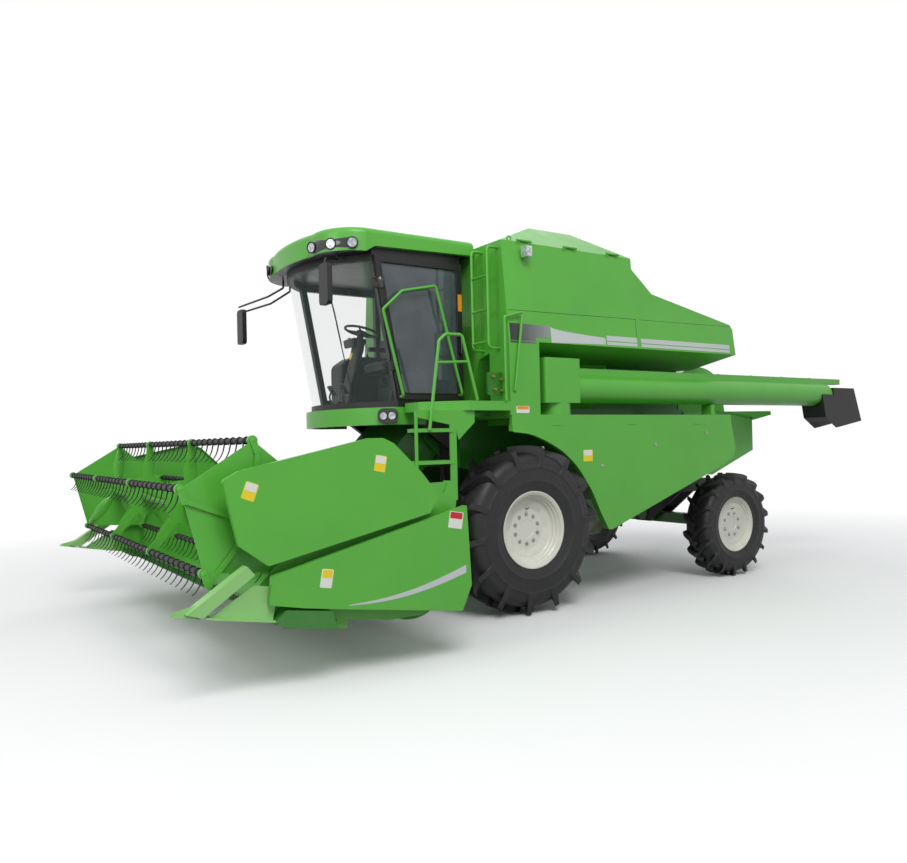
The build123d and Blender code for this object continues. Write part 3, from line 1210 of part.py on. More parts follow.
with BuildPart() as lift_rods:
    for side in (-1, 1):
        foot = lift_base + Vector(0, side * LIFT_Y, 0)
        with BuildSketch(Plane(origin=foot + lift_dir * (BARREL_LENGTH - 480), z_dir=lift_dir)):
            Circle(LIFT_ROD_R)
        extrude(amount=lift_length - BARREL_LENGTH + 480 - 30)
        with BuildSketch(Plane(origin=foot + lift_dir * lift_length + Vector(0, 28, 0), x_dir=(1, 0, 0),
                               z_dir=(0, -1, 0))):
            Circle(LIFT_PIN_R + EYE_SLACK + 20)
        extrude(amount=56)
        with BuildSketch(Plane(origin=foot + lift_dir * lift_length + Vector(0, 29, 0), x_dir=(1, 0, 0),
                               z_dir=(0, -1, 0))):
            Circle(LIFT_PIN_R + EYE_SLACK)
        extrude(amount=58, mode=Mode.SUBTRACT)
save(lift_rods.part, "lift_rods")

# Grain header
ARM_PIVOT = (BACK_X + 61.0, 1190.0)
ARM_Y = (2250.0, 2295.0)          # inner and outer face of a reel arm
ARM_PIN_R = 20.0
REEL_BASE = (1850.0, 560.0)       # lower pin of the reel cylinders
REEL_EYE = (2300.0, 850.0)        # their upper pin
ROD_START = 75.0                  # inner end of the rod, from the lower pin
REEL_PIN_R = 12.0
CYL_Y = (ARM_Y[0] + ARM_Y[1]) / 2
TROUGH_LOW = 141.0
FLOOR_FRONT = (2560.0, 128.0)
BACK_TOP = 1130.0
TROUGH_TOP = 420.0                # where the trough's bend ends and the flat back wall starts
BEAM = 110.0                      # square tube along the back's upper edge
SIDE_OUTLINE = [(BACK_X, BACK_TOP), (1560, BACK_TOP), (2200, 800), (2700, 470), (2830, 300), (2830, 118),
                (2560, 118), (1760, 131), (1480, 180), (BACK_X, 330)]
with BuildPart() as header_frame:
    # auger trough and floor in one bent sheet
    with BuildSketch(header_across(WALL_HALF - SHEET)):
        with BuildLine():
            ThreePointArc((BACK_X, TROUGH_TOP), (1410, 215), (1680, TROUGH_LOW))
            Line((1680, TROUGH_LOW), FLOOR_FRONT)
            Line(FLOOR_FRONT, (FLOOR_FRONT[0], FLOOR_FRONT[1] + SHEET))
            Line((FLOOR_FRONT[0], FLOOR_FRONT[1] + SHEET), (1680, TROUGH_LOW + SHEET))
            ThreePointArc((1680, TROUGH_LOW + SHEET), (1414, 219), (BACK_X + SHEET, TROUGH_TOP))
            Line((BACK_X + SHEET, TROUGH_TOP), (BACK_X, TROUGH_TOP))
        make_face()
    extrude(amount=2 * (WALL_HALF - SHEET))
    # upper and lower cross tubes
    with BuildSketch(header_across(WALL_HALF - SHEET)):
        with Locations((BACK_X + SHEET + BEAM / 2, BACK_TOP - BEAM / 2)):
            Rectangle(BEAM, BEAM)
        with Locations((2150, 95)):
            Rectangle(90, 70)
    extrude(amount=2 * (WALL_HALF - SHEET))
    for side in (-1, 1):
        with BuildSketch(header_across(side * WALL_HALF if side > 0 else -WALL_HALF + SHEET)):
            with BuildLine():
                Polyline(*SIDE_OUTLINE, close=True)
            make_face()
        extrude(amount=SHEET)
        # skid shoe under each end
        with BuildSketch(header_across(side * (WALL_HALF - 60) + 60)):
            with BuildLine():
                Polyline((2203, 66), (2640, 62), (2760, 104), (2760, 118), (2203, 118), close=True)
            make_face()
        extrude(amount=120)
        # uprights on the upper cross tube with the pin that the reel arm turns on
        for y in (ARM_Y[0] - 6, ARM_Y[1] + 6):
            with BuildSketch(header_across(side * y + 3)):
                with BuildLine():
                    Polyline((BACK_X + SHEET, BACK_TOP - 2), (BACK_X + SHEET + BEAM, BACK_TOP - 2),
                             (BACK_X + SHEET + BEAM - 20, BACK_TOP + 95), (BACK_X + SHEET + 20, BACK_TOP + 95),
                             close=True)
                make_face()
            extrude(amount=6)
        with BuildSketch(header_across(side * (ARM_Y[0] + ARM_Y[1]) / 2 + 31)):
            with Locations(ARM_PIVOT):
                Circle(ARM_PIN_R)
        extrude(amount=62)
        # pin that the reel cylinder's barrel turns on
        with BuildSketch(header_across(side * (WALL_HALF - 3))):
            with Locations(REEL_BASE):
                Circle(REEL_PIN_R)
        extrude(amount=side * (WALL_HALF - 3 - CYL_Y + 22))
save(header_frame.part, "header_frame")

# back wall: a sheet on each side of the crop opening and a lintel over it
# left end, right end, lower edge
BACK_SHEETS = [
    (WALL_HALF - SHEET, MOUTH_HALF, TROUGH_TOP),
    (MOUTH_HALF - SEAT_GAP, -MOUTH_HALF + SEAT_GAP, MOUTH[1]),
    (-MOUTH_HALF, -WALL_HALF + SHEET, TROUGH_TOP),
]
with BuildPart() as header_back:
    for left, right, low in BACK_SHEETS:
        with BuildSketch(header_across(left)):
            with Locations((BACK_X + SHEET / 2, (low + BACK_TOP) / 2)):
                Rectangle(SHEET, BACK_TOP - low)
        extrude(amount=left - right)
save(header_back.part, "header_back")

GUARD_PITCH = 76.2
GUARD_COUNT = 60
with BuildPart() as cutter_bar:
    with BuildSketch(header_across(WALL_HALF - SHEET - 6)):
        with Locations((FLOOR_FRONT[0] + 47, 131)):
            Rectangle(94, 12)
    extrude(amount=2 * (WALL_HALF - SHEET - 6))
    for k in range(GUARD_COUNT):
        y = (k - (GUARD_COUNT - 1) / 2) * GUARD_PITCH
        with BuildSketch(header_across(y + 12)):
            with BuildLine():
                Polyline((2620, 121), (2620, 145), (2690, 149), (2775, 133), (2690, 121), close=True)
            make_face()
        extrude(amount=24, taper=6)
    # knife drive outside the left-hand side sheet
    with BuildSketch(header_across(HEADER_HALF - 8)):
        with BuildLine():
            Polyline((2240, 70), (2640, 66), (2700, 110), (2640, 185), (2300, 195), close=True)
        make_face()
    extrude(amount=HEADER_HALF - 8 - WALL_HALF - SEAT_GAP)
save(cutter_bar.part, "cutter_bar")

DIVIDER_REAR = 2705.0             # just ahead of the knife drive
with BuildPart() as crop_dividers:
    for side in (-1, 1):
        outer = side * (WALL_HALF + 70)
        # flat point that parts the crop, with its inner and outer plates
        with BuildSketch(header_across(outer + 5)):
            with BuildLine():
                Polyline((DIVIDER_REAR, 108), (3265, 98), (3390, 118), (2890, 330), (DIVIDER_REAR, 330), close=True)
            make_face()
        extrude(amount=10)
        with BuildSketch(header_level(100)):
            with BuildLine():
                Polyline((DIVIDER_REAR, side * (WALL_HALF + SEAT_GAP)), (DIVIDER_REAR, side * (HEADER_HALF - 10)),
                         (3080, side * (HEADER_HALF - 10)), (3390, side * (WALL_HALF + 72)),
                         (3080, side * (WALL_HALF + SEAT_GAP)), close=True)
            make_face()
        extrude(amount=12)
        # channel-shaped deflector that rises to the rear
        with BuildSketch(header_across(outer + 50)):
            with BuildLine():
                Polyline((3300, 122), (2952, 453), (2891, 403), (3190, 108), close=True)
            make_face()
        extrude(amount=100)
        with BuildSketch(header_across(outer + 42)):
            with BuildLine():
                Polyline((3240, 108), (2912, 425), (2840, 360), (3150, 90), close=True)
            make_face()
        extrude(amount=84, mode=Mode.SUBTRACT)
save(crop_dividers.part, "crop_dividers")

UPPER_SHIELD = [(3208, 987), (3110, 1065), (2199, 1429), (2091, 1448), (1995, 1424), (1719, 1239), (1552, 1096),
                (1608, 954), (2812, 468), (3035, 581)]
LOWER_SHIELD = [(2780, 402), (2767, 212), (2512, 206), (2188, 212), (1208, 243), (1153, 446), (1290, 1051)]
SHIELD_DEPTH = 44.0
with BuildPart() as header_shields:
    for side in (-1, 1):
        for outline, face_y, corner in ((UPPER_SHIELD, HEADER_HALF - 4, 26), (LOWER_SHIELD, HEADER_HALF, 12)):
            skin = Plane(origin=header_across(side * face_y).origin, x_dir=header_across(0).x_dir,
                         z_dir=(0, -1, 0))
            with BuildSketch(skin) as shield_outline:
                with BuildLine():
                    Polyline(*outline, close=True)
                make_face()
                fillet(shield_outline.vertices(), corner)
            extrude(amount=side * SHIELD_DEPTH)
            with BuildSketch(skin.offset(side * SHEET)):
                offset(shield_outline.sketch_local, amount=-SHEET)
            extrude(amount=side * SHIELD_DEPTH, mode=Mode.SUBTRACT)
        # stand-offs from the side sheet to the shields
        for x, z in ((2500, 700), (1800, 1000), (2450, 330), (1500, 620)):
            with BuildSketch(header_across(side * (WALL_HALF + SEAT_GAP))):
                with Locations((x, z)):
                    Circle(20)
            extrude(amount=-side * (HEADER_HALF - 5 - WALL_HALF - SEAT_GAP))
save(header_shields.part, "header_shields")

AUGER_CENTRE = (1680.0, 440.0)
AUGER_TUBE_R = 140.0
FLIGHT_R = 262.0
AUGER_HALF = WALL_HALF - SHEET - 30
with BuildPart() as header_auger:
    with BuildSketch(header_across(AUGER_HALF)):
        with Locations(AUGER_CENTRE):
            Circle(AUGER_TUBE_R)
    extrude(amount=2 * AUGER_HALF)
    with BuildSketch(header_across(WALL_HALF - SHEET - SEAT_GAP)):
        with Locations(AUGER_CENTRE):
            Circle(30)
    extrude(amount=2 * (WALL_HALF - SHEET - SEAT_GAP))
    for side in (-1, 1):
        for k in range(6):
            y = side * (AUGER_HALF - 120 - k * 290)
            with BuildSketch(header_across(y + 4)):
                with Locations(AUGER_CENTRE):
                    Circle(FLIGHT_R)
            extrude(amount=8)
save(header_auger.part, "header_auger")

# Reel
REEL_SHAFT_R = 30.0
with BuildPart() as reel_arms:
    for side in (-1, 1):
        arm_plane = header_across(ARM_Y[1] if side > 0 else -ARM_Y[0])
        with BuildSketch(arm_plane):
            with BuildLine():
                Polyline((ARM_PIVOT[0] - 40, ARM_PIVOT[1] - 35), (ARM_PIVOT[0] - 30, ARM_PIVOT[1] + 35),
                         (2400, REEL_CENTRE[1] + 220), (REEL_CENTRE[0] + 40, REEL_CENTRE[1] + 45),
                         (REEL_CENTRE[0] + 40, REEL_CENTRE[1] - 45), (REEL_CENTRE[0] - 40, REEL_CENTRE[1] - 45),
                         (2380, REEL_CENTRE[1] + 120), close=True)
            make_face()
        extrude(amount=ARM_Y[1] - ARM_Y[0])
        with BuildSketch(arm_plane):
            with Locations(REEL_CENTRE):
                Circle(REEL_SHAFT_R + RUNNING_CLEARANCE)
        extrude(amount=ARM_Y[1] - ARM_Y[0], mode=Mode.SUBTRACT)
        with BuildSketch(arm_plane):
            with Locations(ARM_PIVOT):
                Circle(ARM_PIN_R + RUNNING_CLEARANCE)
        extrude(amount=ARM_Y[1] - ARM_Y[0], mode=Mode.SUBTRACT)
        # ears under the arm with the pin of the reel cylinder's rod
        for y in (CYL_Y - 15.3 - 3, CYL_Y + 15.3 + 3):
            with BuildSketch(header_across(side * y + 3)):
                with BuildLine():
                    Polyline((REEL_EYE[0] - 60, REEL_EYE[1] + 120), (REEL_EYE[0] + 60, REEL_EYE[1] + 120),
                             (REEL_EYE[0] + 22, REEL_EYE[1] - 20), (REEL_EYE[0] - 22, REEL_EYE[1] - 20), close=True)
                make_face()
            extrude(amount=6)
        with BuildSketch(header_across(side * CYL_Y + 20)):
            with Locations(REEL_EYE):
                Circle(REEL_PIN_R)
        extrude(amount=40)
save(reel_arms.part, "reel_arms")

bats = [(REEL_CENTRE[0] + BAT_CIRCLE * cos(radians(FIRST_BAT + k * 360 / BAT_COUNT)),
         REEL_CENTRE[1] + BAT_CIRCLE * sin(radians(FIRST_BAT + k * 360 / BAT_COUNT))) for k in range(BAT_COUNT)]
REEL_TUBE_R = 60.0
PLATE_T = 6.0
EYE_R = 34.0
with BuildPart() as reel_frame:
    with BuildSketch(header_across(PLATE_HALF)):
        with Locations(REEL_CENTRE):
            Circle(REEL_TUBE_R)
    extrude(amount=2 * PLATE_HALF)
    with BuildSketch(header_across(ARM_Y[1] + 6)):
        with Locations(REEL_CENTRE):
            Circle(REEL_SHAFT_R)
    extrude(amount=2 * (ARM_Y[1] + 6))
    # solid five-sided end plates
    for y in (PLATE_HALF, -PLATE_HALF + PLATE_T):
        with BuildSketch(header_across(y)):
            with BuildLine():
                Polyline(*bats, close=True)
            make_face()
            with Locations(*bats):
                Circle(EYE_R)
                Circle(TINE_BAR_R + RUNNING_CLEARANCE, mode=Mode.SUBTRACT)
        extrude(amount=PLATE_T)
    # two inner spiders at the thirds of the length
    for y in (PLATE_HALF / 3, -PLATE_HALF / 3):
        with BuildSketch(header_across(y + PLATE_T / 2)):
            with Locations(REEL_CENTRE):
                Circle(190)
            for k in range(BAT_COUNT):
                turn = FIRST_BAT + k * 360 / BAT_COUNT
                with Locations(Location((REEL_CENTRE[0], REEL_CENTRE[1]), turn)):
                    with Locations((BAT_CIRCLE / 2 + 60, 0)):
                        Rectangle(BAT_CIRCLE - 120, 70)
            with Locations(*bats):
                Circle(EYE_R)
                Circle(TINE_BAR_R + RUNNING_CLEARANCE, mode=Mode.SUBTRACT)
        extrude(amount=PLATE_T)
save(reel_frame.part, "reel_frame")

# tine bars: each turns in the reel so that its tines keep hanging
TINE_T = 9.0
BAR_HALF = PLATE_HALF + 10
CRANK_Y = (PLATE_HALF + 4, PLATE_HALF + 12)      # crank arms of the bars
RING_Y = (PLATE_HALF + 13, PLATE_HALF + 19)      # crank ring that holds all five arms parallel
CRANK_PIN_R = 9.0
for k, (bat_x, bat_z) in enumerate(bats):
    with BuildPart() as tine_bar:
        with BuildSketch(header_across(BAR_HALF - 6)):
            with Locations((bat_x, bat_z)):
                Circle(TINE_BAR_R)
        extrude(amount=2 * BAR_HALF - 6)
        for t in range(TINE_COUNT):
            y = (t - (TINE_COUNT - 1) / 2) * (2 * PLATE_HALF - 120) / TINE_COUNT
            with BuildSketch(header_across(y + TINE_T / 2)):
                with BuildLine():
                    Polyline((bat_x - 14, bat_z), (bat_x - 14 + TINE_T, bat_z),
                             (bat_x - 12 + TINE_T, bat_z - 0.6 * TINE_LENGTH),
                             (bat_x + 22, bat_z - TINE_LENGTH), (bat_x + 14, bat_z - TINE_LENGTH),
                             (bat_x - 22, bat_z - 0.6 * TINE_LENGTH), close=True)
                make_face()
            extrude(amount=TINE_T)
        # crank arm with its pin through the ring
        with BuildSketch(header_across(CRANK_Y[1])):
            with Locations((bat_x, bat_z), (bat_x + CRANK[0], bat_z + CRANK[1])):
                Circle(24)
            with BuildLine():
                Polyline((bat_x - 20, bat_z + 10), (bat_x + 20, bat_z - 10),
                         (bat_x + CRANK[0] + 20, bat_z + CRANK[1] - 10),
                         (bat_x + CRANK[0] - 20, bat_z + CRANK[1] + 10), close=True)
            make_face()
        extrude(amount=CRANK_Y[1] - CRANK_Y[0])
        with BuildSketch(header_across(RING_Y[1])):
            with Locations((bat_x + CRANK[0], bat_z + CRANK[1])):
                Circle(CRANK_PIN_R)
        extrude(amount=RING_Y[1] - CRANK_Y[1])
    save(tine_bar.part, f"tine_bar_{k + 1}")

with BuildPart() as crank_ring:
    ring_centre = (REEL_CENTRE[0] + CRANK[0], REEL_CENTRE[1] + CRANK[1])
    pins = [(x + CRANK[0], z + CRANK[1]) for x, z in bats]
    with BuildSketch(header_across(RING_Y[1])):
        with Locations(ring_centre):
            Circle(170)
        for k in range(BAT_COUNT):
            with Locations(Location(ring_centre, FIRST_BAT + k * 360 / BAT_COUNT)):
                with Locations((BAT_CIRCLE / 2 + 60, 0)):
                    Rectangle(BAT_CIRCLE - 120, 36)
        with Locations(*pins):
            Circle(24)
            Circle(CRANK_PIN_R + RUNNING_CLEARANCE, mode=Mode.SUBTRACT)
        with Locations(ring_centre):
            Circle(130, mode=Mode.SUBTRACT)
    extrude(amount=RING_Y[1] - RING_Y[0])
save(crank_ring.part, "crank_ring")

# reel lift cylinders between the side sheets and the reel arms
reel_length = hypot(REEL_EYE[0] - REEL_BASE[0], REEL_EYE[1] - REEL_BASE[1])
reel_angle = degrees(atan2(REEL_EYE[1] - REEL_BASE[1], REEL_EYE[0] - REEL_BASE[0]))
REEL_ROD_R = 12.0
REEL_SLACK = 6.0                  # the rod's eye lies open on its pin by this much all round
with BuildPart() as reel_barrels:
    for side in (-1, 1):
        with BuildSketch(header_across(side * CYL_Y + 20)):
            with Locations(REEL_BASE):
                Circle(34)
        extrude(amount=40)
        start = header_across(side * CYL_Y)
        along = start.x_dir * cos(radians(reel_angle)) + start.y_dir * sin(radians(reel_angle))
        foot = start.origin + start.x_dir * REEL_BASE[0] + start.y_dir * REEL_BASE[1]
        with BuildSketch(Plane(origin=foot + along * 20, z_dir=along)):
            Circle(22)
        extrude(amount=reel_length * 0.62)
        with BuildSketch(Plane(origin=foot + along * 60, z_dir=along)):
            Circle(REEL_ROD_R + RUNNING_CLEARANCE)
        extrude(amount=reel_length, mode=Mode.SUBTRACT)
        with BuildSketch(header_across(side * CYL_Y + 21)):
            with Locations(REEL_BASE):
                Circle(REEL_PIN_R + RUNNING_CLEARANCE)
        extrude(amount=42, mode=Mode.SUBTRACT)
save(reel_barrels.part, "reel_barrels")
with BuildPart() as reel_rods:
    for side in (-1, 1):
        start = header_across(side * CYL_Y)
        along = start.x_dir * cos(radians(reel_angle)) + start.y_dir * sin(radians(reel_angle))
        foot = start.origin + start.x_dir * REEL_BASE[0] + start.y_dir * REEL_BASE[1]
        with BuildSketch(Plane(origin=foot + along * ROD_START, z_dir=along)):
            Circle(REEL_ROD_R)
        extrude(amount=reel_length - ROD_START - REEL_PIN_R - REEL_SLACK - 4)
        with BuildSketch(header_across(side * CYL_Y + 15)):
            with Locations(REEL_EYE):
                Circle(REEL_PIN_R + REEL_SLACK + 9)
                Circle(REEL_PIN_R + REEL_SLACK, mode=Mode.SUBTRACT)
        extrude(amount=30)
save(reel_rods.part, "reel_rods")
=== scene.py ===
from math import cos, pi, radians, sin

import bmesh
import bpy
import numpy as np
from bpy.props import FloatProperty, FloatVectorProperty, IntProperty, PointerProperty
from mathutils import Matrix


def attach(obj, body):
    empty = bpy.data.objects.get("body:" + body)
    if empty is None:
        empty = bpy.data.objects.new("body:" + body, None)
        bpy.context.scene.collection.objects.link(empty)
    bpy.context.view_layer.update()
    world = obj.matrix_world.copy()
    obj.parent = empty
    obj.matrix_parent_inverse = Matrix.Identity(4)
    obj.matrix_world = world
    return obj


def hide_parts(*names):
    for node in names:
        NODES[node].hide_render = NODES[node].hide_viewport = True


bl_info = {
    "name": "Combine harvester dressing",
    "version": (1, 0, 0),
    "blender": (4, 5, 0),
    "location": "View3D > Sidebar > Harvester",
    "description": "Dresses the packed combine harvester with paint, tread, lamps, stripes and fittings",
    "category": "Object",
}

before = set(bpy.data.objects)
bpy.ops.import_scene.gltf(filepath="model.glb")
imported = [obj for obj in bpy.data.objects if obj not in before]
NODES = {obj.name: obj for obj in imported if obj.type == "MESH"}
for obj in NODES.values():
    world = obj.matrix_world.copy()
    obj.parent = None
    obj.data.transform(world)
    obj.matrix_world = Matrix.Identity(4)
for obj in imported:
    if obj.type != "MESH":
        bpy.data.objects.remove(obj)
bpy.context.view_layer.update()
FRONT_AXLE = 1.103                  # the front axle stands this far ahead of the origin
HEADER_PIVOT = (0.550, 1.750)       # x from the front axle and height of the feeder house's pivot
HEADER_RAISE = radians(10)
X, Y, Z = np.eye(3)
MATERIALS = {}                      # every finish by its name, once the nodes are painted


# Shapes: each is a tuple of points, four-cornered faces and three-cornered faces.

def unit(vectors):
    """Each vector at length 1."""
    vectors = np.asarray(vectors, float)
    return vectors / np.linalg.norm(vectors, axis=-1, keepdims=True)


def circle(around):
    """Angles of that many even steps round a circle."""
    return np.linspace(0, 2 * pi, around, endpoint=False)


def grid_faces(rows, columns, close_rows=False, close_columns=False):
    """Quads over a rows by columns grid of points, wrapped round where a direction is closed."""
    i = np.arange(rows if close_rows else rows - 1)
    j = np.arange(columns if close_columns else columns - 1)
    i, j = np.meshgrid(i, j, indexing="ij")
    i2, j2 = (i + 1) % rows, (j + 1) % columns
    quads = np.stack([i * columns + j, i * columns + j2, i2 * columns + j2, i2 * columns + j], -1)
    return quads.reshape(-1, 4)


def skin(rings, closed=False):
    """Quads from ring to ring; the ends are fans about each end ring's mean, or the last ring meets the first."""
    rings = np.asarray(rings, float)
    rows, columns = rings.shape[:2]
    points = rings.reshape(-1, 3)
    quads = grid_faces(rows, columns, closed, True)
    if closed:
        return points, quads, np.zeros((0, 3), int)
    j = np.arange(columns)
    k = (j + 1) % columns
    last = (rows - 1) * columns
    points = np.vstack([points, rings[0].mean(0), rings[-1].mean(0)])
    fans = [np.stack([np.full(columns, rows * columns), k, j], -1),
            np.stack([np.full(columns, rows * columns + 1), last + j, last + k], -1)]
    return points, quads, np.vstack(fans)


def joined(shapes):
    """One shape of several, each keeping its own points."""
    steps = np.cumsum([0] + [len(s[0]) for s in shapes[:-1]])
    return (np.vstack([s[0] for s in shapes]), np.vstack([s[1] + n for s, n in zip(shapes, steps)]),
            np.vstack([s[2] + n for s, n in zip(shapes, steps)]))


def copies(shape, moves, turns=None):
    """The shape once for every move, turned first by the 3 by 3 array of the same place in turns."""
    points, quads, triangles = shape
    moves = np.atleast_2d(np.asarray(moves, float))
    turned = points[None] if turns is None else np.einsum("nij,pj->npi", turns, points)
    placed = (turned + moves[:, None]).reshape(-1, 3)
    steps = (np.arange(len(moves)) * len(points))[:, None, None]
    return placed, (quads[None] + steps).reshape(-1, 4), (triangles[None] + steps).reshape(-1, 3)


def bent(corners, reach=0.04, steps=6):
    """Path through corners: at each inner corner P the curve (1-u)^2 A + 2u(1-u) P + u^2 B, where A and B
    stand reach before and after P on the straight runs."""
    p = np.asarray(corners, float)
    if len(p) < 3:
        return p
    before, after = p[:-2] - p[1:-1], p[2:] - p[1:-1]
    back, on = np.linalg.norm(before, axis=1, keepdims=True), np.linalg.norm(after, axis=1, keepdims=True)
    a = p[1:-1] + before * np.minimum(reach / back, 0.45)
    b = p[1:-1] + after * np.minimum(reach / on, 0.45)
    u = np.linspace(0, 1, steps)[None, :, None]
    curve = (1 - u) ** 2 * a[:, None] + 2 * u * (1 - u) * p[1:-1][:, None] + u ** 2 * b[:, None]
    return np.vstack([p[:1], curve.reshape(-1, 3), p[-1:]])


def tube(path, radius, around=10, ref=(0.0, 0.0, 1.0)):
    """Rings path + radius (cos t S + sin t T), with S square to the path and to ref, and T square to both."""
    path = np.asarray(path, float)
    along = unit(np.gradient(path, axis=0))
    side = unit(np.cross(along, ref))
    over = np.cross(side, along)
    t = circle(around)[None, :, None]
    size = np.broadcast_to(np.asarray(radius, float), (len(path),))[:, None, None]
    return skin(path[:, None] + size * (np.cos(t) * side[:, None] + np.sin(t) * over[:, None]))


def hoop(path, across, over, radius, around=8):
    """Tube on a closed path: path + radius (cos t across + sin t over)."""
    t = circle(around)[None, :, None]
    across, over = np.asarray(across)[..., None, :], np.asarray(over)[..., None, :]
    return skin(path[:, None] + radius * (np.cos(t) * across + np.sin(t) * over), closed=True)


def turned(profile, centre, axis, around=32, closed=False):
    """Revolve: each (radius r, height h) gives the ring centre + h axis + r (cos t U + sin t V)."""
    profile = np.asarray(profile, float)
    axis = unit(axis)
    u = unit(np.cross(axis, X if abs(axis[0]) < 0.9 else Z))
    v = np.cross(axis, u)
    t = circle(around)[None, :, None]
    r, h = profile[:, 0][:, None, None], profile[:, 1][:, None, None]
    return skin(np.asarray(centre, float) + h * axis + r * (np.cos(t) * u + np.sin(t) * v), closed)


def rounded(width, height, corner, steps=5):
    """Outline of a rectangle with round corners: corner centre + corner radius (cos t, sin t)."""
    t = np.linspace(0, pi / 2, steps)
    quarter = np.arange(4)[:, None] * pi / 2 + t[None]
    middle = np.array([(1, 1), (-1, 1), (-1, -1), (1, -1)]) * (width / 2 - corner, height / 2 - corner)
    arcs = middle[:, None] + corner * np.stack([np.cos(quarter), np.sin(quarter)], -1)
    return arcs.reshape(-1, 2)


def plate(outline, thickness, origin, across, up, edge=0.0015):
    """Flat plate: the outline at its foot, at its full size, and drawn in by the edge at its top."""
    outline = np.asarray(outline, float)
    across, up = unit(across), unit(up)
    out = np.cross(across, up)
    middle = outline.mean(0)
    shrink = 1 - edge / np.linalg.norm(outline - middle, axis=1, keepdims=True)
    rings = [(outline, 0.0), (outline, thickness - edge), (middle + (outline - middle) * shrink, thickness)]
    return skin([np.asarray(origin, float) + o[:, :1] * across + o[:, 1:] * up + h * out for o, h in rings])


def oriented_plate(centre, along, out, width, height, corner, thickness=0.003):
    """Round-cornered plate about a centre, its width along one direction and its face outwards."""
    up = np.cross(unit(out), unit(along))
    return plate(rounded(width, height, corner), thickness, centre, along, up, min(0.0012, thickness / 3))


def bolt(radius, height):
    """Hexagon head: six corners, straight sides and a small chamfer, standing on Z = 0."""
    return turned([(radius, 0), (radius, 0.8 * height), (0.85 * radius, height)], (0, 0, 0), Z, 6)


def facing_turn(out):
    """3 by 3 turn that lays Z along out."""
    out = unit(out)
    u = unit(np.cross(out, X if abs(out[0]) < 0.9 else Y))
    return np.stack([u, np.cross(out, u), out], -1)


def set_out(shape, feet, out):
    """The shape once on every foot, its Z turned along out."""
    return copies(shape, feet, np.tile(facing_turn(out), (len(feet), 1, 1)))


def on_header(points):
    """Points of the lowered header, from the front axle, turned up about the feeder house's pivot."""
    p = np.asarray(points, float)
    x, z = p[..., 0] - HEADER_PIVOT[0], p[..., 2] - HEADER_PIVOT[1]
    c, s = cos(HEADER_RAISE), sin(HEADER_RAISE)
    return np.stack([HEADER_PIVOT[0] + x * c - z * s + FRONT_AXLE, p[..., 1], HEADER_PIVOT[1] + x * s + z * c], -1)


def raise_shape(shape):
    """The shape taken from the lowered header's place to the raised one."""
    return (on_header(shape[0]), *shape[1:])


def ahead(points):
    """Points given from the front axle, in the model's frame."""
    return np.asarray(points, float) + (FRONT_AXLE, 0, 0)


def ahead_shape(shape):
    """The shape given from the front axle, in the model's frame."""
    return (ahead(shape[0]), *shape[1:])


def new_object(name, points, faces, finish):
    """A mesh object of points and faces, in that finish."""
    mesh = bpy.data.meshes.new(name)
    mesh.from_pydata(points.tolist(), [], faces)
    mesh.materials.append(MATERIALS[finish])
    piece = bpy.data.objects.new(name, mesh)
    bpy.context.scene.collection.objects.link(piece)
    return piece


def make_piece(name, shapes, finish, body, sharp=35.0):
    """A mesh object of those shapes, faces outwards, smooth up to the sharp angle, riding on a body."""
    points, quads, triangles = joined(shapes if isinstance(shapes, list) else [shapes])
    piece = new_object(name, points, quads.tolist() + triangles.tolist(), finish)
    mesh = piece.data
    work = bmesh.new()
    work.from_mesh(mesh)
    bmesh.ops.recalc_face_normals(work, faces=work.faces)
    work.to_mesh(mesh)
    work.free()
    mesh.polygons.foreach_set("use_smooth", np.ones(len(mesh.polygons), bool))
    mesh.set_sharp_from_angle(angle=radians(sharp))
    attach(piece, body)
    return piece


def bake(piece):
    """Puts what the piece's modifiers give into its mesh."""
    found = piece.evaluated_get(bpy.context.evaluated_depsgraph_get())
    mesh = bpy.data.meshes.new_from_object(found)
    piece.modifiers.clear()
    piece.data = mesh
    return piece


def draped(name, x, low, high, side, nodes, finish, body, lift=0.0012, rows=4, start=1.9):
    """Thin film on a side of the machine: at every x it reaches from low to high, in that many rows, and each
    point moves across the machine, from the start distance, until it meets the named nodes."""
    x, low, high = np.broadcast_arrays(np.asarray(x, float), low, high)
    t = np.linspace(0, 1, rows)[None]
    z = low[:, None] * (1 - t) + high[:, None] * t
    points = np.stack([np.broadcast_to(x[:, None], z.shape), np.full(z.shape, side * start), z], -1)
    quads = grid_faces(len(x), rows)
    if side > 0:
        quads = quads[:, ::-1]
    piece = new_object(name, ahead(points.reshape(-1, 3)), quads.tolist(), finish)
    wrap = piece.modifiers.new("lay on", "SHRINKWRAP")
    wrap.wrap_method = "PROJECT"
    wrap.use_project_y = True
    wrap.use_negative_direction = side > 0
    wrap.use_positive_direction = side < 0
    wrap.target = NODES[nodes[0]]
    if len(nodes) > 1:
        wrap.auxiliary_target = NODES[nodes[1]]
    wrap.wrap_mode = "ABOVE_SURFACE"
    wrap.offset = lift
    bake(piece)
    film = piece.modifiers.new("film", "SOLIDIFY")
    film.thickness = lift
    film.offset = -1.0
    bake(piece)
    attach(piece, body)
    return piece


# Finishes.

def linear(colour):
    """Screen colour to the linear light that a shader takes."""
    c = np.asarray(colour, float)
    return tuple(np.where(c <= 0.04045, c / 12.92, ((c + 0.055) / 1.055) ** 2.4))


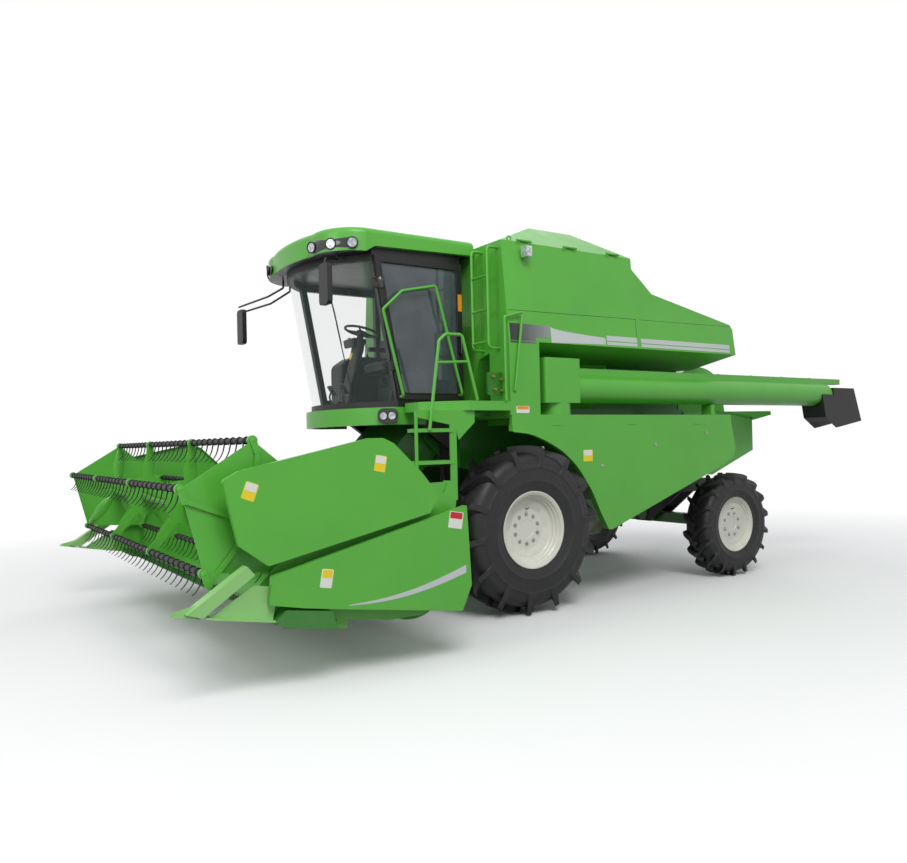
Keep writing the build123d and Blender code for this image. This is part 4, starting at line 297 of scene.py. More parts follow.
class Recipe:
    """A node material that is put together step by step round one Principled shader."""

    def __init__(self, name, colour, roughness=0.5, metallic=0.0, coat=0.0, coat_roughness=0.05):
        self.material = bpy.data.materials.new(name)
        self.material.use_nodes = True
        self.tree = self.material.node_tree
        self.shader = self.tree.nodes["Principled BSDF"]
        base = (*linear(colour), 1.0)
        self.shader.inputs["Base Color"].default_value = base
        self.shader.inputs["Roughness"].default_value = roughness
        self.shader.inputs["Metallic"].default_value = metallic
        self.shader.inputs["Coat Weight"].default_value = coat
        self.shader.inputs["Coat Roughness"].default_value = coat_roughness
        self.place = self.tree.nodes.new("ShaderNodeTexCoord")
        self.bumps = None
        self.material.diffuse_color = base

    def node(self, kind, **values):
        made = self.tree.nodes.new(kind)
        for key, value in values.items():
            setattr(made, key, value)
        return made

    def link(self, out, into):
        self.tree.links.new(out, into)

    def mapped(self, scale=(1, 1, 1)):
        made = self.node("ShaderNodeMapping")
        made.inputs["Scale"].default_value = scale
        self.link(self.place.outputs["Object"], made.inputs["Vector"])
        return made.outputs["Vector"]

    def noise(self, scale, detail=3.0, rough=0.5, stretch=(1, 1, 1)):
        made = self.node("ShaderNodeTexNoise")
        made.inputs["Scale"].default_value = scale
        made.inputs["Detail"].default_value = detail
        made.inputs["Roughness"].default_value = rough
        self.link(self.mapped(stretch), made.inputs["Vector"])
        return made.outputs["Fac"]

    def ramp(self, value, low, high):
        """0 where the value is low, 1 where it is high."""
        made = self.node("ShaderNodeMapRange")
        made.inputs["From Min"].default_value = low
        made.inputs["From Max"].default_value = high
        self.link(value, made.inputs["Value"])
        return made.outputs["Result"]

    def axis_value(self, axis):
        made = self.node("ShaderNodeSeparateXYZ")
        self.link(self.place.outputs["Object"], made.inputs[0])
        return made.outputs[axis]

    def math(self, operation, a, b=0.0):
        made = self.node("ShaderNodeMath", operation=operation)
        for socket, value in zip(made.inputs, (a, b)):
            if isinstance(value, (int, float)):
                socket.default_value = value
            else:
                self.link(value, socket)
        return made.outputs[0]

    def tint(self, mask, colour, strength=1.0):
        """Mixes another colour in where the mask is bright."""
        made = self.node("ShaderNodeMix", data_type="RGBA")
        before = self.shader.inputs["Base Color"]
        if before.is_linked:
            self.link(before.links[0].from_socket, made.inputs[6])
        else:
            made.inputs[6].default_value = before.default_value
        made.inputs[7].default_value = (*linear(colour), 1.0)
        self.link(self.math("MULTIPLY", mask, strength), made.inputs[0])
        self.link(made.outputs[2], before)

    def rough(self, mask, low, high):
        """Roughness from low to high as the mask goes from 0 to 1."""
        made = self.node("ShaderNodeMapRange")
        made.inputs["To Min"].default_value = low
        made.inputs["To Max"].default_value = high
        self.link(mask, made.inputs["Value"])
        self.link(made.outputs["Result"], self.shader.inputs["Roughness"])

    def bump(self, height, depth, strength=1.0):
        """Adds a relief of that depth over the ones before it."""
        made = self.node("ShaderNodeBump")
        made.inputs["Distance"].default_value = depth
        made.inputs["Strength"].default_value = strength
        self.link(height, made.inputs["Height"])
        if self.bumps:
            self.link(self.bumps, made.inputs["Normal"])
        self.bumps = made.outputs["Normal"]
        self.link(self.bumps, self.shader.inputs["Normal"])


GREEN_SHADE = (0.27, 0.60, 0.17)
# the cab's headliner: half width, top and front, and the roof's lower edge
LINING_HALF, LINING_TOP, LINING_FRONT, ROOF_FOOT = 0.905, 3.5735, 2.60, 3.474
BEACON_DRUM_FOOT = 3.745            # the beacon is amber above this height and white below it


def sheet_paint(name, colour, shade, roughness, coat):
    """Sprayed sheet metal: slow shade changes, an orange-peel skin, faint dust low down and in patches."""
    paint = Recipe(name, colour, roughness, coat=coat, coat_roughness=0.08)
    paint.tint(paint.ramp(paint.noise(1.3, 4), 0.42, 0.68), shade, 0.28)
    dust = paint.ramp(paint.noise(9.0, 6, 0.65), 0.5, 0.78)
    low = paint.ramp(paint.axis_value("Z"), 1.5, 0.2)
    paint.tint(paint.math("MULTIPLY", dust, low), (0.55, 0.52, 0.42), 0.22)
    paint.rough(paint.noise(5.0, 5), roughness - 0.07, roughness + 0.1)
    paint.bump(paint.noise(170.0, 2), 0.0005, 0.25)
    paint.bump(paint.noise(1.7, 2, 0.4), 0.006, 0.5)
    return paint


def film(name, colour, shade, roughness=0.4):
    """Sheet film: one colour with a slow mottle and a gloss that varies a little."""
    made = Recipe(name, colour, roughness, coat=0.1, coat_roughness=0.2)
    made.tint(made.ramp(made.noise(2.5, 3), 0.4, 0.7), shade, 0.3)
    made.rough(made.noise(4.0, 2), roughness - 0.04, roughness + 0.08)
    return made


def make_materials():
    """Every finish of the machine by its name."""
    made = {}
    look = bpy.context.scene.harvester_paint
    for key, name, colour, shade, roughness, coat in (
            ("green", "grass green sheet paint", look.body_green, GREEN_SHADE, 0.4, 0.14),
            # deep green is the castings' and axles' own darker paint, and also painted shade on the underside parts
            # it covers
            ("deep green", "green casting paint with painted underside shade", look.frame_green, (0.13, 0.38, 0.09), 0.42, 0.2),
            ("pale green", "pale green bar paint", (0.56, 0.78, 0.47), (0.46, 0.70, 0.38), 0.42, 0.1),
            ("black", "satin black frame paint", (0.022, 0.024, 0.022), (0.05, 0.05, 0.046), 0.5, 0.0),
            ("cream", "cream rim paint", look.rim_cream, (0.66, 0.66, 0.60), 0.36, 0.3)):
        made[key] = sheet_paint(name, colour, shade, roughness, coat).material

    # the roof's underside and the headliner are black: below their height and inside their outline
    roof = sheet_paint("roof paint over a black lining", look.body_green, GREEN_SHADE, 0.4, 0.14)
    across = roof.math("ABSOLUTE", roof.axis_value("Y"))
    lining = roof.math("MULTIPLY", roof.math("LESS_THAN", across, LINING_HALF),
                       roof.math("LESS_THAN", roof.axis_value("Z"), LINING_TOP))
    lining = roof.math("MULTIPLY", lining, roof.math("LESS_THAN", roof.axis_value("X"), LINING_FRONT))
    lining = roof.math("MAXIMUM", lining, roof.math("LESS_THAN", roof.axis_value("Z"), ROOF_FOOT))
    roof.tint(lining, (0.04, 0.042, 0.042))
    made["roof"] = roof.material

    tyre = Recipe("dusty tread rubber", (0.03, 0.031, 0.034), 0.62)
    tyre.tint(tyre.ramp(tyre.noise(6.0, 6, 0.6), 0.48, 0.8), (0.10, 0.097, 0.092), 0.3)
    tyre.rough(tyre.noise(14.0, 4), 0.42, 0.68)
    tyre.bump(tyre.noise(240.0, 3), 0.0008, 0.5)
    made["tyre"] = tyre.material

    rubber = Recipe("moulded black rubber", (0.028, 0.028, 0.03), 0.55)
    rubber.tint(rubber.ramp(rubber.noise(7.0, 4), 0.5, 0.8), (0.11, 0.11, 0.11), 0.4)
    rubber.bump(rubber.noise(120.0, 3), 0.0006, 0.6)
    made["rubber"] = rubber.material

    plastic = Recipe("grained black plastic", (0.026, 0.026, 0.03), 0.5)
    plastic.tint(plastic.ramp(plastic.noise(20.0, 3), 0.5, 0.8), (0.10, 0.10, 0.10), 0.3)
    plastic.bump(plastic.noise(420.0, 2), 0.0004, 0.7)
    made["plastic"] = plastic.material

    gloss = Recipe("gloss black lamp housing", (0.03, 0.03, 0.033), 0.16, coat=0.8, coat_roughness=0.03)
    gloss.tint(gloss.ramp(gloss.noise(12.0, 3), 0.5, 0.8), (0.06, 0.06, 0.065), 0.3)
    gloss.bump(gloss.noise(200.0, 2), 0.0002, 0.3)
    made["gloss black"] = gloss.material

    steel = Recipe("bright worn steel", (0.62, 0.62, 0.60), 0.34, metallic=0.9)
    steel.tint(steel.ramp(steel.noise(30.0, 5), 0.5, 0.75), (0.38, 0.36, 0.33), 0.5)
    steel.rough(steel.noise(60.0, 4), 0.24, 0.5)
    made["steel"] = steel.material

    chrome = Recipe("hard chromed rod", (0.82, 0.83, 0.84), 0.12, metallic=1.0)
    chrome.bump(chrome.noise(300.0, 2, 0.5, (1, 8, 1)), 0.0002, 0.3)
    chrome.tint(chrome.ramp(chrome.noise(40.0, 3), 0.55, 0.8), (0.66, 0.66, 0.66), 0.3)
    made["chrome"] = chrome.material

    brass = Recipe("brass fitting", (0.78, 0.62, 0.26), 0.3, metallic=0.9)
    brass.tint(brass.ramp(brass.noise(50.0, 3), 0.5, 0.8), (0.5, 0.38, 0.14), 0.5)
    made["brass"] = brass.material

    for name, colour, alpha in (("clear glass", (0.62, 0.70, 0.69), 0.05), ("door glass", (0.30, 0.33, 0.36), 0.66)):
        glass = Recipe(name, colour, 0.03, coat=0.6, coat_roughness=0.02)
        glass.shader.inputs["Alpha"].default_value = alpha
        glass.shader.inputs["IOR"].default_value = 1.5
        glass.tint(glass.ramp(glass.noise(2.2, 4), 0.45, 0.8), (0.60, 0.64, 0.67), 0.3)
        glass.material.surface_render_method = "BLENDED"
        made[name] = glass.material

    lens = Recipe("lamp lens", (0.86, 0.88, 0.90), 0.06, metallic=0.35, coat=1.0, coat_roughness=0.02)
    ribs = lens.node("ShaderNodeTexVoronoi", feature="F1")
    ribs.inputs["Scale"].default_value = 38.0
    lens.link(lens.mapped(), ribs.inputs["Vector"])
    lens.tint(lens.ramp(ribs.outputs["Distance"], 0.2, 0.7), (0.42, 0.44, 0.47), 0.6)
    lens.bump(ribs.outputs["Distance"], 0.003, 0.6)
    made["lens"] = lens.material

    amber = Recipe("amber lens", (0.95, 0.42, 0.06), 0.12, coat=0.8)
    band = amber.ramp(amber.axis_value("Z"), BEACON_DRUM_FOOT, BEACON_DRUM_FOOT + 0.005)
    amber.tint(amber.math("SUBTRACT", 1.0, band), (0.9, 0.9, 0.88), 1.0)
    amber.bump(amber.noise(60.0, 2, 0.5, (1, 1, 0.1)), 0.002, 0.4)
    made["amber"] = amber.material

    cloth = Recipe("woven seat cloth", (0.09, 0.09, 0.10), 0.9)
    weave = cloth.node("ShaderNodeTexWave", wave_type="BANDS", bands_direction="DIAGONAL")
    weave.inputs["Scale"].default_value = 160.0
    cloth.link(cloth.mapped(), weave.inputs["Vector"])
    cloth.tint(weave.outputs["Fac"], (0.16, 0.16, 0.17), 0.6)
    cloth.bump(weave.outputs["Fac"], 0.001, 0.6)
    cloth.shader.inputs["Sheen Weight"].default_value = 0.4
    made["cloth"] = cloth.material

    silver = film("silver stripe film", (0.76, 0.78, 0.78), (0.68, 0.70, 0.70), 0.38)
    silver.shader.inputs["Metallic"].default_value = 0.2
    made["silver film"] = silver.material
    fade = film("silver film that fades from dark grey", (0.70, 0.72, 0.72), (0.6, 0.6, 0.6), 0.4)
    fade.tint(fade.ramp(fade.axis_value("X"), 0.45, 1.28), (0.10, 0.11, 0.12))
    made["fading film"] = fade.material
    for key, colour, shade in (("yellow film", (0.93, 0.83, 0.16), (0.85, 0.72, 0.12)),
                               ("white film", (0.90, 0.91, 0.88), (0.80, 0.81, 0.78)),
                               ("red film", (0.78, 0.13, 0.10), (0.66, 0.10, 0.08)),
                               ("orange film", (0.93, 0.58, 0.10), (0.84, 0.48, 0.08)),
                               # seam shade: a darker green film that paints the shade in the pressed seams
                               ("seam shade", (0.07, 0.20, 0.05), (0.05, 0.14, 0.04))):
        made[key] = film(key, colour, shade).material
    return made


# the finish of every CAD node
NODE_FINISH = {
    "green": ("straw_hood", "grain_tank", "engine_hood", "side_panel_left", "side_panel_right", "side_shelves",
              "unloading_auger", "header_shields", "header_frame", "header_back", "tank_cover_left",
              "tank_cover_right", "access_ladder", "platform", "reel_frame", "reel_arms", "handrails", "door_rail",
              "tank_ladder", "crank_ring", "cab_bumper"),
    # deep green: own darker paint of axles, knuckles and castings, and painted shade on the separator body and other
    # underside parts
    "deep green": ("separator_body", "feeder_house", "front_axle", "rear_axle_beam", "steering_knuckle_left",
                   "steering_knuckle_right", "cutter_bar", "header_auger"),
    "pale green": ("crop_dividers",),
    "roof": ("cab_roof",),
    "black": ("chassis_frame", "cab_shell", "cab_door", "engine_block", "lift_barrels", "reel_barrels",
              "tine_bar_1", "tine_bar_2", "tine_bar_3", "tine_bar_4", "tine_bar_5"),
    "cream": ("rim_front_left", "rim_front_right", "rim_rear_left", "rim_rear_right"),
    "tyre": ("tyre_front_left", "tyre_front_right", "tyre_rear_left", "tyre_rear_right"),
    "clear glass": ("cab_windows",),
    "door glass": ("door_glass",),
    "chrome": ("lift_rods", "reel_rods"),
    "plastic": ("steering_console", "mirrors"),
    "cloth": ("operator_seat",),
    "rubber": ("auger_spout",),
    "lens": ("lamps",),
    "amber": ("beacon",),
}


class HarvesterPaint(bpy.types.PropertyGroup):
    """Colours of the machine."""
    body_green: FloatVectorProperty(name="Body green", description="Sheet metal of body, tank and shields",
                                    subtype="COLOR", default=(0.33, 0.68, 0.21), min=0, max=1)
    # frame green is partly painted shade: it darkens the underside for the shade that falls there
    frame_green: FloatVectorProperty(name="Frame green", description="Castings, axles and the shaded underside",
                                     subtype="COLOR", default=(0.17, 0.46, 0.12), min=0, max=1)
    rim_cream: FloatVectorProperty(name="Rim cream", description="Wheel rims and discs",
                                   subtype="COLOR", default=(0.86, 0.86, 0.81), min=0, max=1)


class HarvesterFittings(bpy.types.PropertyGroup):
    """Sizes of the dressing."""
    lug_flare: FloatProperty(name="Lug flare", description="How much wider a tyre lug gets down the shoulder",
                             default=0.55, min=0.0, max=1.0)
    wheel_bolts: IntProperty(name="Wheel bolts", description="Bolts round the hub of a front wheel",
                             default=10, min=4, max=16)
    tine_wire: FloatProperty(name="Tine wire", description="Radius of a reel tine at its root",
                             default=0.0062, min=0.003, max=0.01, unit="LENGTH")
    coil_turns: FloatProperty(name="Coil turns", description="Turns of a tine's spring coil round its bar",
                              default=2.0, min=1.0, max=4.0)


class HARVESTER_OT_paint_nodes(bpy.types.Operator):
    """Gives every CAD node its finish"""
    bl_idname = "harvester.paint_nodes"
    bl_label = "Paint the CAD nodes"

    def execute(self, context):
        MATERIALS.update(make_materials())
        for finish, names in NODE_FINISH.items():
            for name in names:
                mesh = NODES[name].data
                mesh.materials.clear()
                mesh.materials.append(MATERIALS[finish])
        return {"FINISHED"}


# Wheels: name, axle x, wheel centre y, axle height, tyre radius, tyre width, lug height, lugs a row, flange
# radius, rim width, the disc's outer face from the wheel's middle, hub radius, where the hub starts
WHEELS = (
    ("front_left", 0.0, 1.335, 0.817, 0.817, 0.490, 0.064, 14, 0.374, 0.430, 0.082, 0.130, -0.1447),
    ("front_right", 0.0, -1.335, 0.817, 0.817, 0.490, 0.064, 14, 0.374, 0.430, 0.082, 0.130, -0.1447),
    ("rear_left", -3.259, 1.230, 0.618, 0.618, 0.343, 0.046, 17, 0.348, 0.280, 0.072, 0.095, -0.1097),
    ("rear_right", -3.259, -1.230, 0.618, 0.618, 0.343, 0.046, 17, 0.348, 0.280, 0.072, 0.095, -0.1097),
)
# a tyre's half section under the lugs: drop of the carcass and of the lug's top, as shares of the side wall's
# height, then how far each is from the tyre's middle, as shares of the width
TYRE_ROWS = np.array([
    (0.020, 0.008, -0.020, -0.020), (0.000, 0.000, 0.030, 0.030), (0.002, 0.002, 0.14, 0.14),
    (0.012, 0.006, 0.25, 0.25), (0.036, 0.014, 0.34, 0.35), (0.085, 0.030, 0.41, 0.43),
    (0.145, 0.062, 0.45, 0.467), (0.20, 0.17, 0.468, 0.486), (0.27, 0.30, 0.480, 0.496), (0.385, 0.53, 0.488, 0.499),
])
# the side wall below the lugs: drop from the carcass, distance from the middle
WALL_ROWS = np.array([(0.405, 0.4995), (0.425, 0.489), (0.46, 0.490), (0.58, 0.4985), (0.70, 0.492), (0.715, 0.497),
                      (0.74, 0.497), (0.755, 0.487), (0.86, 0.466), (0.94, 0.444), (0.992, 0.424)])


def tyre_half(row, radius, width, lug, count, flange, flare):
    """Half a tyre round its own middle: point = (r cos a, -row y, r sin a).

    r and y go from the carcass section C(s) to the lug section T(s) by m(a), which is 1 on a lug and 0 beside
    it. The columns' angle a = 2 pi (k + row / 4) / count - pi / 2 + (slide(s) + offset) / radius, where slide
    follows the lug's rake and the offsets bunch up at the lug's two edges."""
    crown, wall = radius - lug, radius - lug - flange
    c_r = np.concatenate([crown - TYRE_ROWS[:, 0] * wall, crown - WALL_ROWS[:, 0] * wall])
    t_r = np.concatenate([radius - TYRE_ROWS[:, 1] * wall, crown - WALL_ROWS[:, 0] * wall])
    t_r = np.maximum(t_r, c_r)
    c_y = np.concatenate([TYRE_ROWS[:, 2], WALL_ROWS[:, 1]]) * width
    t_y = np.concatenate([TYRE_ROWS[:, 3], WALL_ROWS[:, 1]]) * width
    spread = 1 + flare * np.clip(np.linspace(-1.6, 2.6, len(c_r)), 0, 1)
    slide = width * (-0.045 + 0.455 * np.clip(c_y / (0.46 * width), 0, 1) ** 0.85)
    # the seat on the rim closes the section
    seat_r, seat_y = [flange - 0.021] * 2, [0.42 * width, -0.02 * width]
    c_r, t_r = np.append(c_r, seat_r), np.append(t_r, seat_r)
    c_y, t_y = np.append(c_y, seat_y), np.append(t_y, seat_y)
    spread, slide = np.append(spread, [1, 1]), np.append(slide, [slide[-1], slide[0]])
    pitch = 2 * pi * radius / count
    edge = np.array([-0.082, -0.060, -0.02, 0.02, 0.060, 0.082])[None] * width * spread[:, None]
    gap = edge[:, -1:] + (pitch - 2 * edge[:, -1:]) * np.arange(1, 5)[None] / 5
    offset = np.concatenate([edge, gap], 1)
    on_lug = np.array([0, 1, 1, 1, 1, 0, 0, 0, 0, 0.0])
    k = np.arange(count)
    turn = 2 * pi * (k + 0.25 * row) / count - pi / 2
    a = (turn[None, :, None] + (slide[:, None, None] + offset[:, None]) / radius).reshape(len(c_r), -1)
    m = np.tile(on_lug, count)[None]
    r = c_r[:, None] + m * (t_r - c_r)[:, None]
    y = c_y[:, None] + m * (t_y - c_y)[:, None]
    return skin(np.stack([r * np.cos(a), -row * y, r * np.sin(a)], -1), closed=True)


def on_wheel(shape, middle):
    """A wheel's shape at its middle, given from the front axle, with its outer face to the machine's outside."""
    return (ahead(shape[0] * (1, np.sign(middle[1]), 1) + middle), *shape[1:])


class HARVESTER_OT_tyres(bpy.types.Operator):
    """Lays lugged tyres with raked, flared bars over the CAD tyres"""
    bl_idname = "harvester.tyres"
    bl_label = "Tyres"

    def execute(self, context):
        flare = context.scene.harvester_fittings.lug_flare
        for name, x, y, z, radius, width, lug, count, flange, *_ in WHEELS:
            halves = [on_wheel(tyre_half(row, radius, width, lug, count, flange, flare), (x, y, z))
                      for row in (-1, 1)]
            tyre = make_piece(f"lugged_tyre_{name}", halves, "tyre", f"{name}_wheel", 38)
            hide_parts(f"tyre_{name}")
        return {"FINISHED"}


def rim_face(flange, half, disc):
    """Stepped well and eight-cornered disc: rings (r, y) turned about Y, where the disc's rings follow
    r cos(pi/8) / cos((a mod pi/4) - pi/8)."""
    depth = half - disc
    # share of the flange's radius, height over the disc, 1 where the ring has eight corners
    rows = [(0.02, 0, 0), (0.24, 0, 0), (0.25, 0.004, 0), (0.52, 0.004, 0), (0.60, 0.004, 1),
            (0.66, 0.16 * depth, 1)]
    rings = [(f * flange, disc + up, octagon) for f, up, octagon in rows]
    rings += [(flange - inward, half - share * depth, 0) for inward, share in
              ((0.104, 0.82), (0.090, 0.80), (0.078, 0.72), (0.075, 0.58), (0.060, 0.53), (0.056, 0.48),
               (0.054, 0.32), (0.041, 0.26), (0.038, 0.20), (0.034, 0.10), (0.022, 0.06), (0.014, 0.02),
               (0.008, 0.0), (0.003, 0.0), (0.0, 0.012))]
    rings += [(flange, half - 0.009, 0), (flange - 0.022, half - 0.009, 0), (flange - 0.022, -half + 0.009, 0),
              (flange, -half + 0.009, 0), (flange, -half, 0), (flange - 0.006, -half, 0),
              (flange - 0.031, -half + 0.03, 0), (flange - 0.031, disc - 0.03, 0), (0.66 * flange, disc - 0.016, 0),
              (0.60 * flange, disc - 0.02, 0), (0.02 * flange, disc - 0.02, 0)]
    table = np.array(rings)
    a = circle(96)[None]
    corners = cos(pi / 8) / np.cos(a % (pi / 4) - pi / 8)
    r = table[:, :1] * (1 + table[:, 2:] * (corners - 1))
    return skin(np.stack([r * np.cos(a), np.broadcast_to(table[:, 1:2], r.shape), r * np.sin(a)], -1))


class HARVESTER_OT_rims(bpy.types.Operator):
    """Sets the stepped cream rims with their bolts into the tyres"""
    bl_idname = "harvester.rims"
    bl_label = "Rims"

    def execute(self, context):
        bolts = context.scene.harvester_fittings.wheel_bolts
        for name, x, y, z, _, _, _, _, flange, rim_width, disc, hub, start in WHEELS:
            count = bolts if name.startswith("front") else bolts - 2
            a = 2 * pi * (np.arange(count) + 0.5) / count
            ring = 0.385 * flange
            foot = np.stack([ring * np.cos(a), np.full(count, disc + 0.004), ring * np.sin(a)], -1)
            heads = set_out(bolt(0.0135, 0.014), foot, Y)
            washers = set_out(turned([(0.021, 0), (0.021, 0.003), (0.019, 0.004)], (0, 0, 0), Z, 16), foot, Y)
            barrel = turned([(hub - 0.02, start), (hub, start), (hub, disc - 0.019), (hub - 0.02, disc - 0.019)],
                            (0, 0, 0), Y, 48, closed=True)
            valve = tube([(0, disc + 0.004, 0.52 * flange), (0, disc + 0.03, 0.53 * flange),
                          (0, disc + 0.05, 0.56 * flange)], (0.006, 0.005, 0.004), 8, X)
            middle, body = (x, y, z), f"{name}_wheel"
            rim = make_piece(f"stepped_rim_{name}", [on_wheel(s, middle) for s in
                                                     (rim_face(flange, rim_width / 2, disc), barrel)],
                             "cream", body, 40)
            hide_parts(f"rim_{name}")
            make_piece(f"wheel_bolts_{name}", [on_wheel(s, middle) for s in (heads, washers)], "steel", body, 30)
            make_piece(f"tyre_valve_{name}", on_wheel(valve, middle), "rubber", body, 30)
        return {"FINISHED"}


# Reel, in the lowered header: its middle, its five bars, the tines' places across, from bar to crank pin
REEL = np.array([2.916, 0.0, 0.799])
BAT_TURNS = radians(83.8) + 2 * pi * np.arange(5) / 5
BATS = REEL + 0.499 * np.stack([np.cos(BAT_TURNS), np.zeros(5), np.sin(BAT_TURNS)], -1)
TINE_Y = (np.arange(30) - 14.5) * 0.144
CRANK_STEP = np.array([-0.038, 0.0, -0.072])
PLATE_FACE = 2.2140                 # inner face of the reel's end plates, either side of the middle


class HARVESTER_OT_reel(bpy.types.Operator):
    """Hangs curved spring tines on the reel's bars and dresses its plates"""
    bl_idname = "harvester.reel"
    bl_label = "Reel"

    def execute(self, context):
        fittings = context.scene.harvester_fittings
        # a coil round the bar, then a leg on the curve of four control points
        t = np.linspace(0, 1, int(7 * fittings.coil_turns) + 1)
        swing = 2 * pi * fittings.coil_turns * t + pi
        coil = np.stack([0.0255 * np.cos(swing), -0.012 + 0.022 * t, 0.0255 * np.sin(swing)], -1)
        u = np.linspace(0, 1, 7)[:, None]
        a, b, c, d = np.array([(-0.0255, 0.010, 0.0), (-0.034, 0.006, -0.075), (-0.022, 0.0, -0.125),
                               (0.016, 0.0, -0.164)])
        leg = (1 - u) ** 3 * a + 3 * u * (1 - u) ** 2 * b + 3 * u ** 2 * (1 - u) * c + u ** 3 * d
        wire = fittings.tine_wire
        tine = joined([tube(coil, 0.8 * wire, 4, Y), tube(leg, np.linspace(wire, 0.55 * wire, 7), 5, Y)])
        for k, bat in enumerate(BATS):
            bar = turned([(0.018, -2.2300), (0.020, -2.2280), (0.020, 2.2220), (0.018, 2.2240)], bat, Y, 20)
            tines = copies(tine, bat + TINE_Y[:, None] * Y)
            piece = make_piece(f"spring_tines_{k + 1}", [raise_shape(bar), raise_shape(tines)], "black",
                               f"tine_bar_{k + 1}", 40)
            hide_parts(f"tine_bar_{k + 1}")
            # crank arm: a link with round ends from the bar to the ring, its pin, and a nut on the bar's end
            step = unit(CRANK_STEP)
            across = np.cross(step, Y)
            s = circle(40)
            reach = np.where(np.cos(s) > 0, np.linalg.norm(CRANK_STEP), 0)[:, None]
            outline = bat + reach * step + 0.024 * (np.cos(s)[:, None] * step + np.sin(s)[:, None] * across)
            waist = bat + CRANK_STEP / 2
            arm = skin([outline + (0, 2.2240, 0), outline + (0, 2.2310, 0),
                        waist + (outline - waist) * 0.96 + (0, 2.2320, 0)])
            pin = turned([(0.009, 2.230), (0.009, 2.2385), (0.008, 2.2390)], bat + CRANK_STEP, Y, 16)
            cap = turned([(0.015, 2.2318), (0.015, 2.2332), (0.013, 2.2340)], bat, Y, 6)
            make_piece(f"crank_arm_{k + 1}", [raise_shape(arm), raise_shape(pin), raise_shape(cap)], "green",
                       f"tine_bar_{k + 1}", 35)
        # leaf-shaped ribs from the middle to every bar, on the end plates' inner faces and on the spiders: half
        # width 0.016 + 0.042 sin(pi s^0.8); then the bars' clamps and the ribs' bolts
        ribs, clamps, studs = [], [], []
        s = np.linspace(0, 1, 15)
        half = (0.016 + 0.042 * np.sin(pi * s ** 0.8))[:, None]
        for y, out in ((PLATE_FACE, -1), (-PLATE_FACE, 1), (0.737, -1), (-0.743, -1)):
            for bat, turn in zip(BATS, BAT_TURNS):
                along, over = np.array([cos(turn), 0, sin(turn)]), np.array([-sin(turn), 0, cos(turn)])
                spine = REEL + (0.10 + 0.372 * s)[:, None] * along
                edge = np.vstack([spine + half * over, (spine - half * over)[::-1]])
                inner = np.vstack([spine + 0.6 * half * over, (spine - 0.6 * half * over)[::-1]])
                ribs.append(skin([edge + y * Y, edge + (y + out * 0.002) * Y, inner + (y + out * 0.010) * Y]))
                clamps.append(turned([(0.0206, 0), (0.033, 0), (0.033, 0.030), (0.0206, 0.030)], bat + y * Y,
                                     out * Y, 20, closed=True))
                foot = [REEL + r * along + (y + out * 0.009) * Y for r in (0.16, 0.30, 0.42)]
                studs.append(set_out(bolt(0.009, 0.007), foot, out * Y))
        # stepped hubs on both faces of the two end plates
        hubs = [turned([(0.09, 0), (0.09, 0.006), (0.062, 0.012), (0.062, 0.022), (0.040, 0.024)], REEL + y * Y,
                       out * Y, 40) for y, out in ((2.2200, 1), (-2.2200, -1), (PLATE_FACE, -1), (-PLATE_FACE, 1))]
        for name, shapes, finish in (("reel_ribs", ribs, "green"), ("reel_clamps", clamps, "green"),
                                     ("reel_bolts", studs, "steel"), ("reel_hubs", hubs, "green")):
            make_piece(name, [raise_shape(shape) for shape in shapes], finish, "reel", 30)
        return {"FINISHED"}


class HARVESTER_OT_auger(bpy.types.Operator):
    """Winds the header's crop auger: two flights that carry inwards, and a spiral of fingers in the middle"""
    bl_idname = "harvester.auger"
    bl_label = "Crop auger"

    def execute(self, context):
        centre, pitch = np.array([1.680, 0.0, 0.440]), 0.52
        drum = turned([(0.137, -2.276), (0.140, -2.270), (0.140, 2.270), (0.137, 2.276)], centre, Y, 48)
        shapes = [raise_shape(drum)]
        # flight: (r cos a, y, r sin a) with a = -2 pi |y| / pitch, half a turn on at the right; four corners across
        for hand in (-1, 1):
            y = np.linspace(0.36, 2.262, 300) * hand
            a = -2 * pi * np.abs(y) / pitch + (0 if hand > 0 else pi)
            inner, outer = 0.1385, np.minimum(0.261, 0.1385 + 0.35 * (np.abs(y) - 0.34))
            rings = np.stack([np.stack([r * np.cos(a), y + d, r * np.sin(a)], -1) for r, d in
                              ((inner, -0.004), (outer, -0.003), (outer, 0.003), (inner, 0.004))], 1)
            shapes.append(raise_shape(skin(rings + centre)))
        make_piece("auger_flights", shapes, "green", "header_auger", 35)
        # fingers one after the other round the middle
        k = np.arange(12)
        y, a = -0.30 + 0.0545 * k, 2 * pi * k * 0.31
        out = np.stack([np.cos(a), np.zeros(12), np.sin(a)], -1)
        rods = [turned([(0.020, 0.136), (0.020, 0.150), (0.011, 0.153), (0.0085, 0.160), (0.0085, 0.252),
                        (0.004, 0.258)], centre + (0, y[i], 0), out[i], 10) for i in k]
        fingers = make_piece("auger_fingers", [raise_shape(s) for s in rods], "steel", "header_auger", 35)
        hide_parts("header_auger")
        return {"FINISHED"}


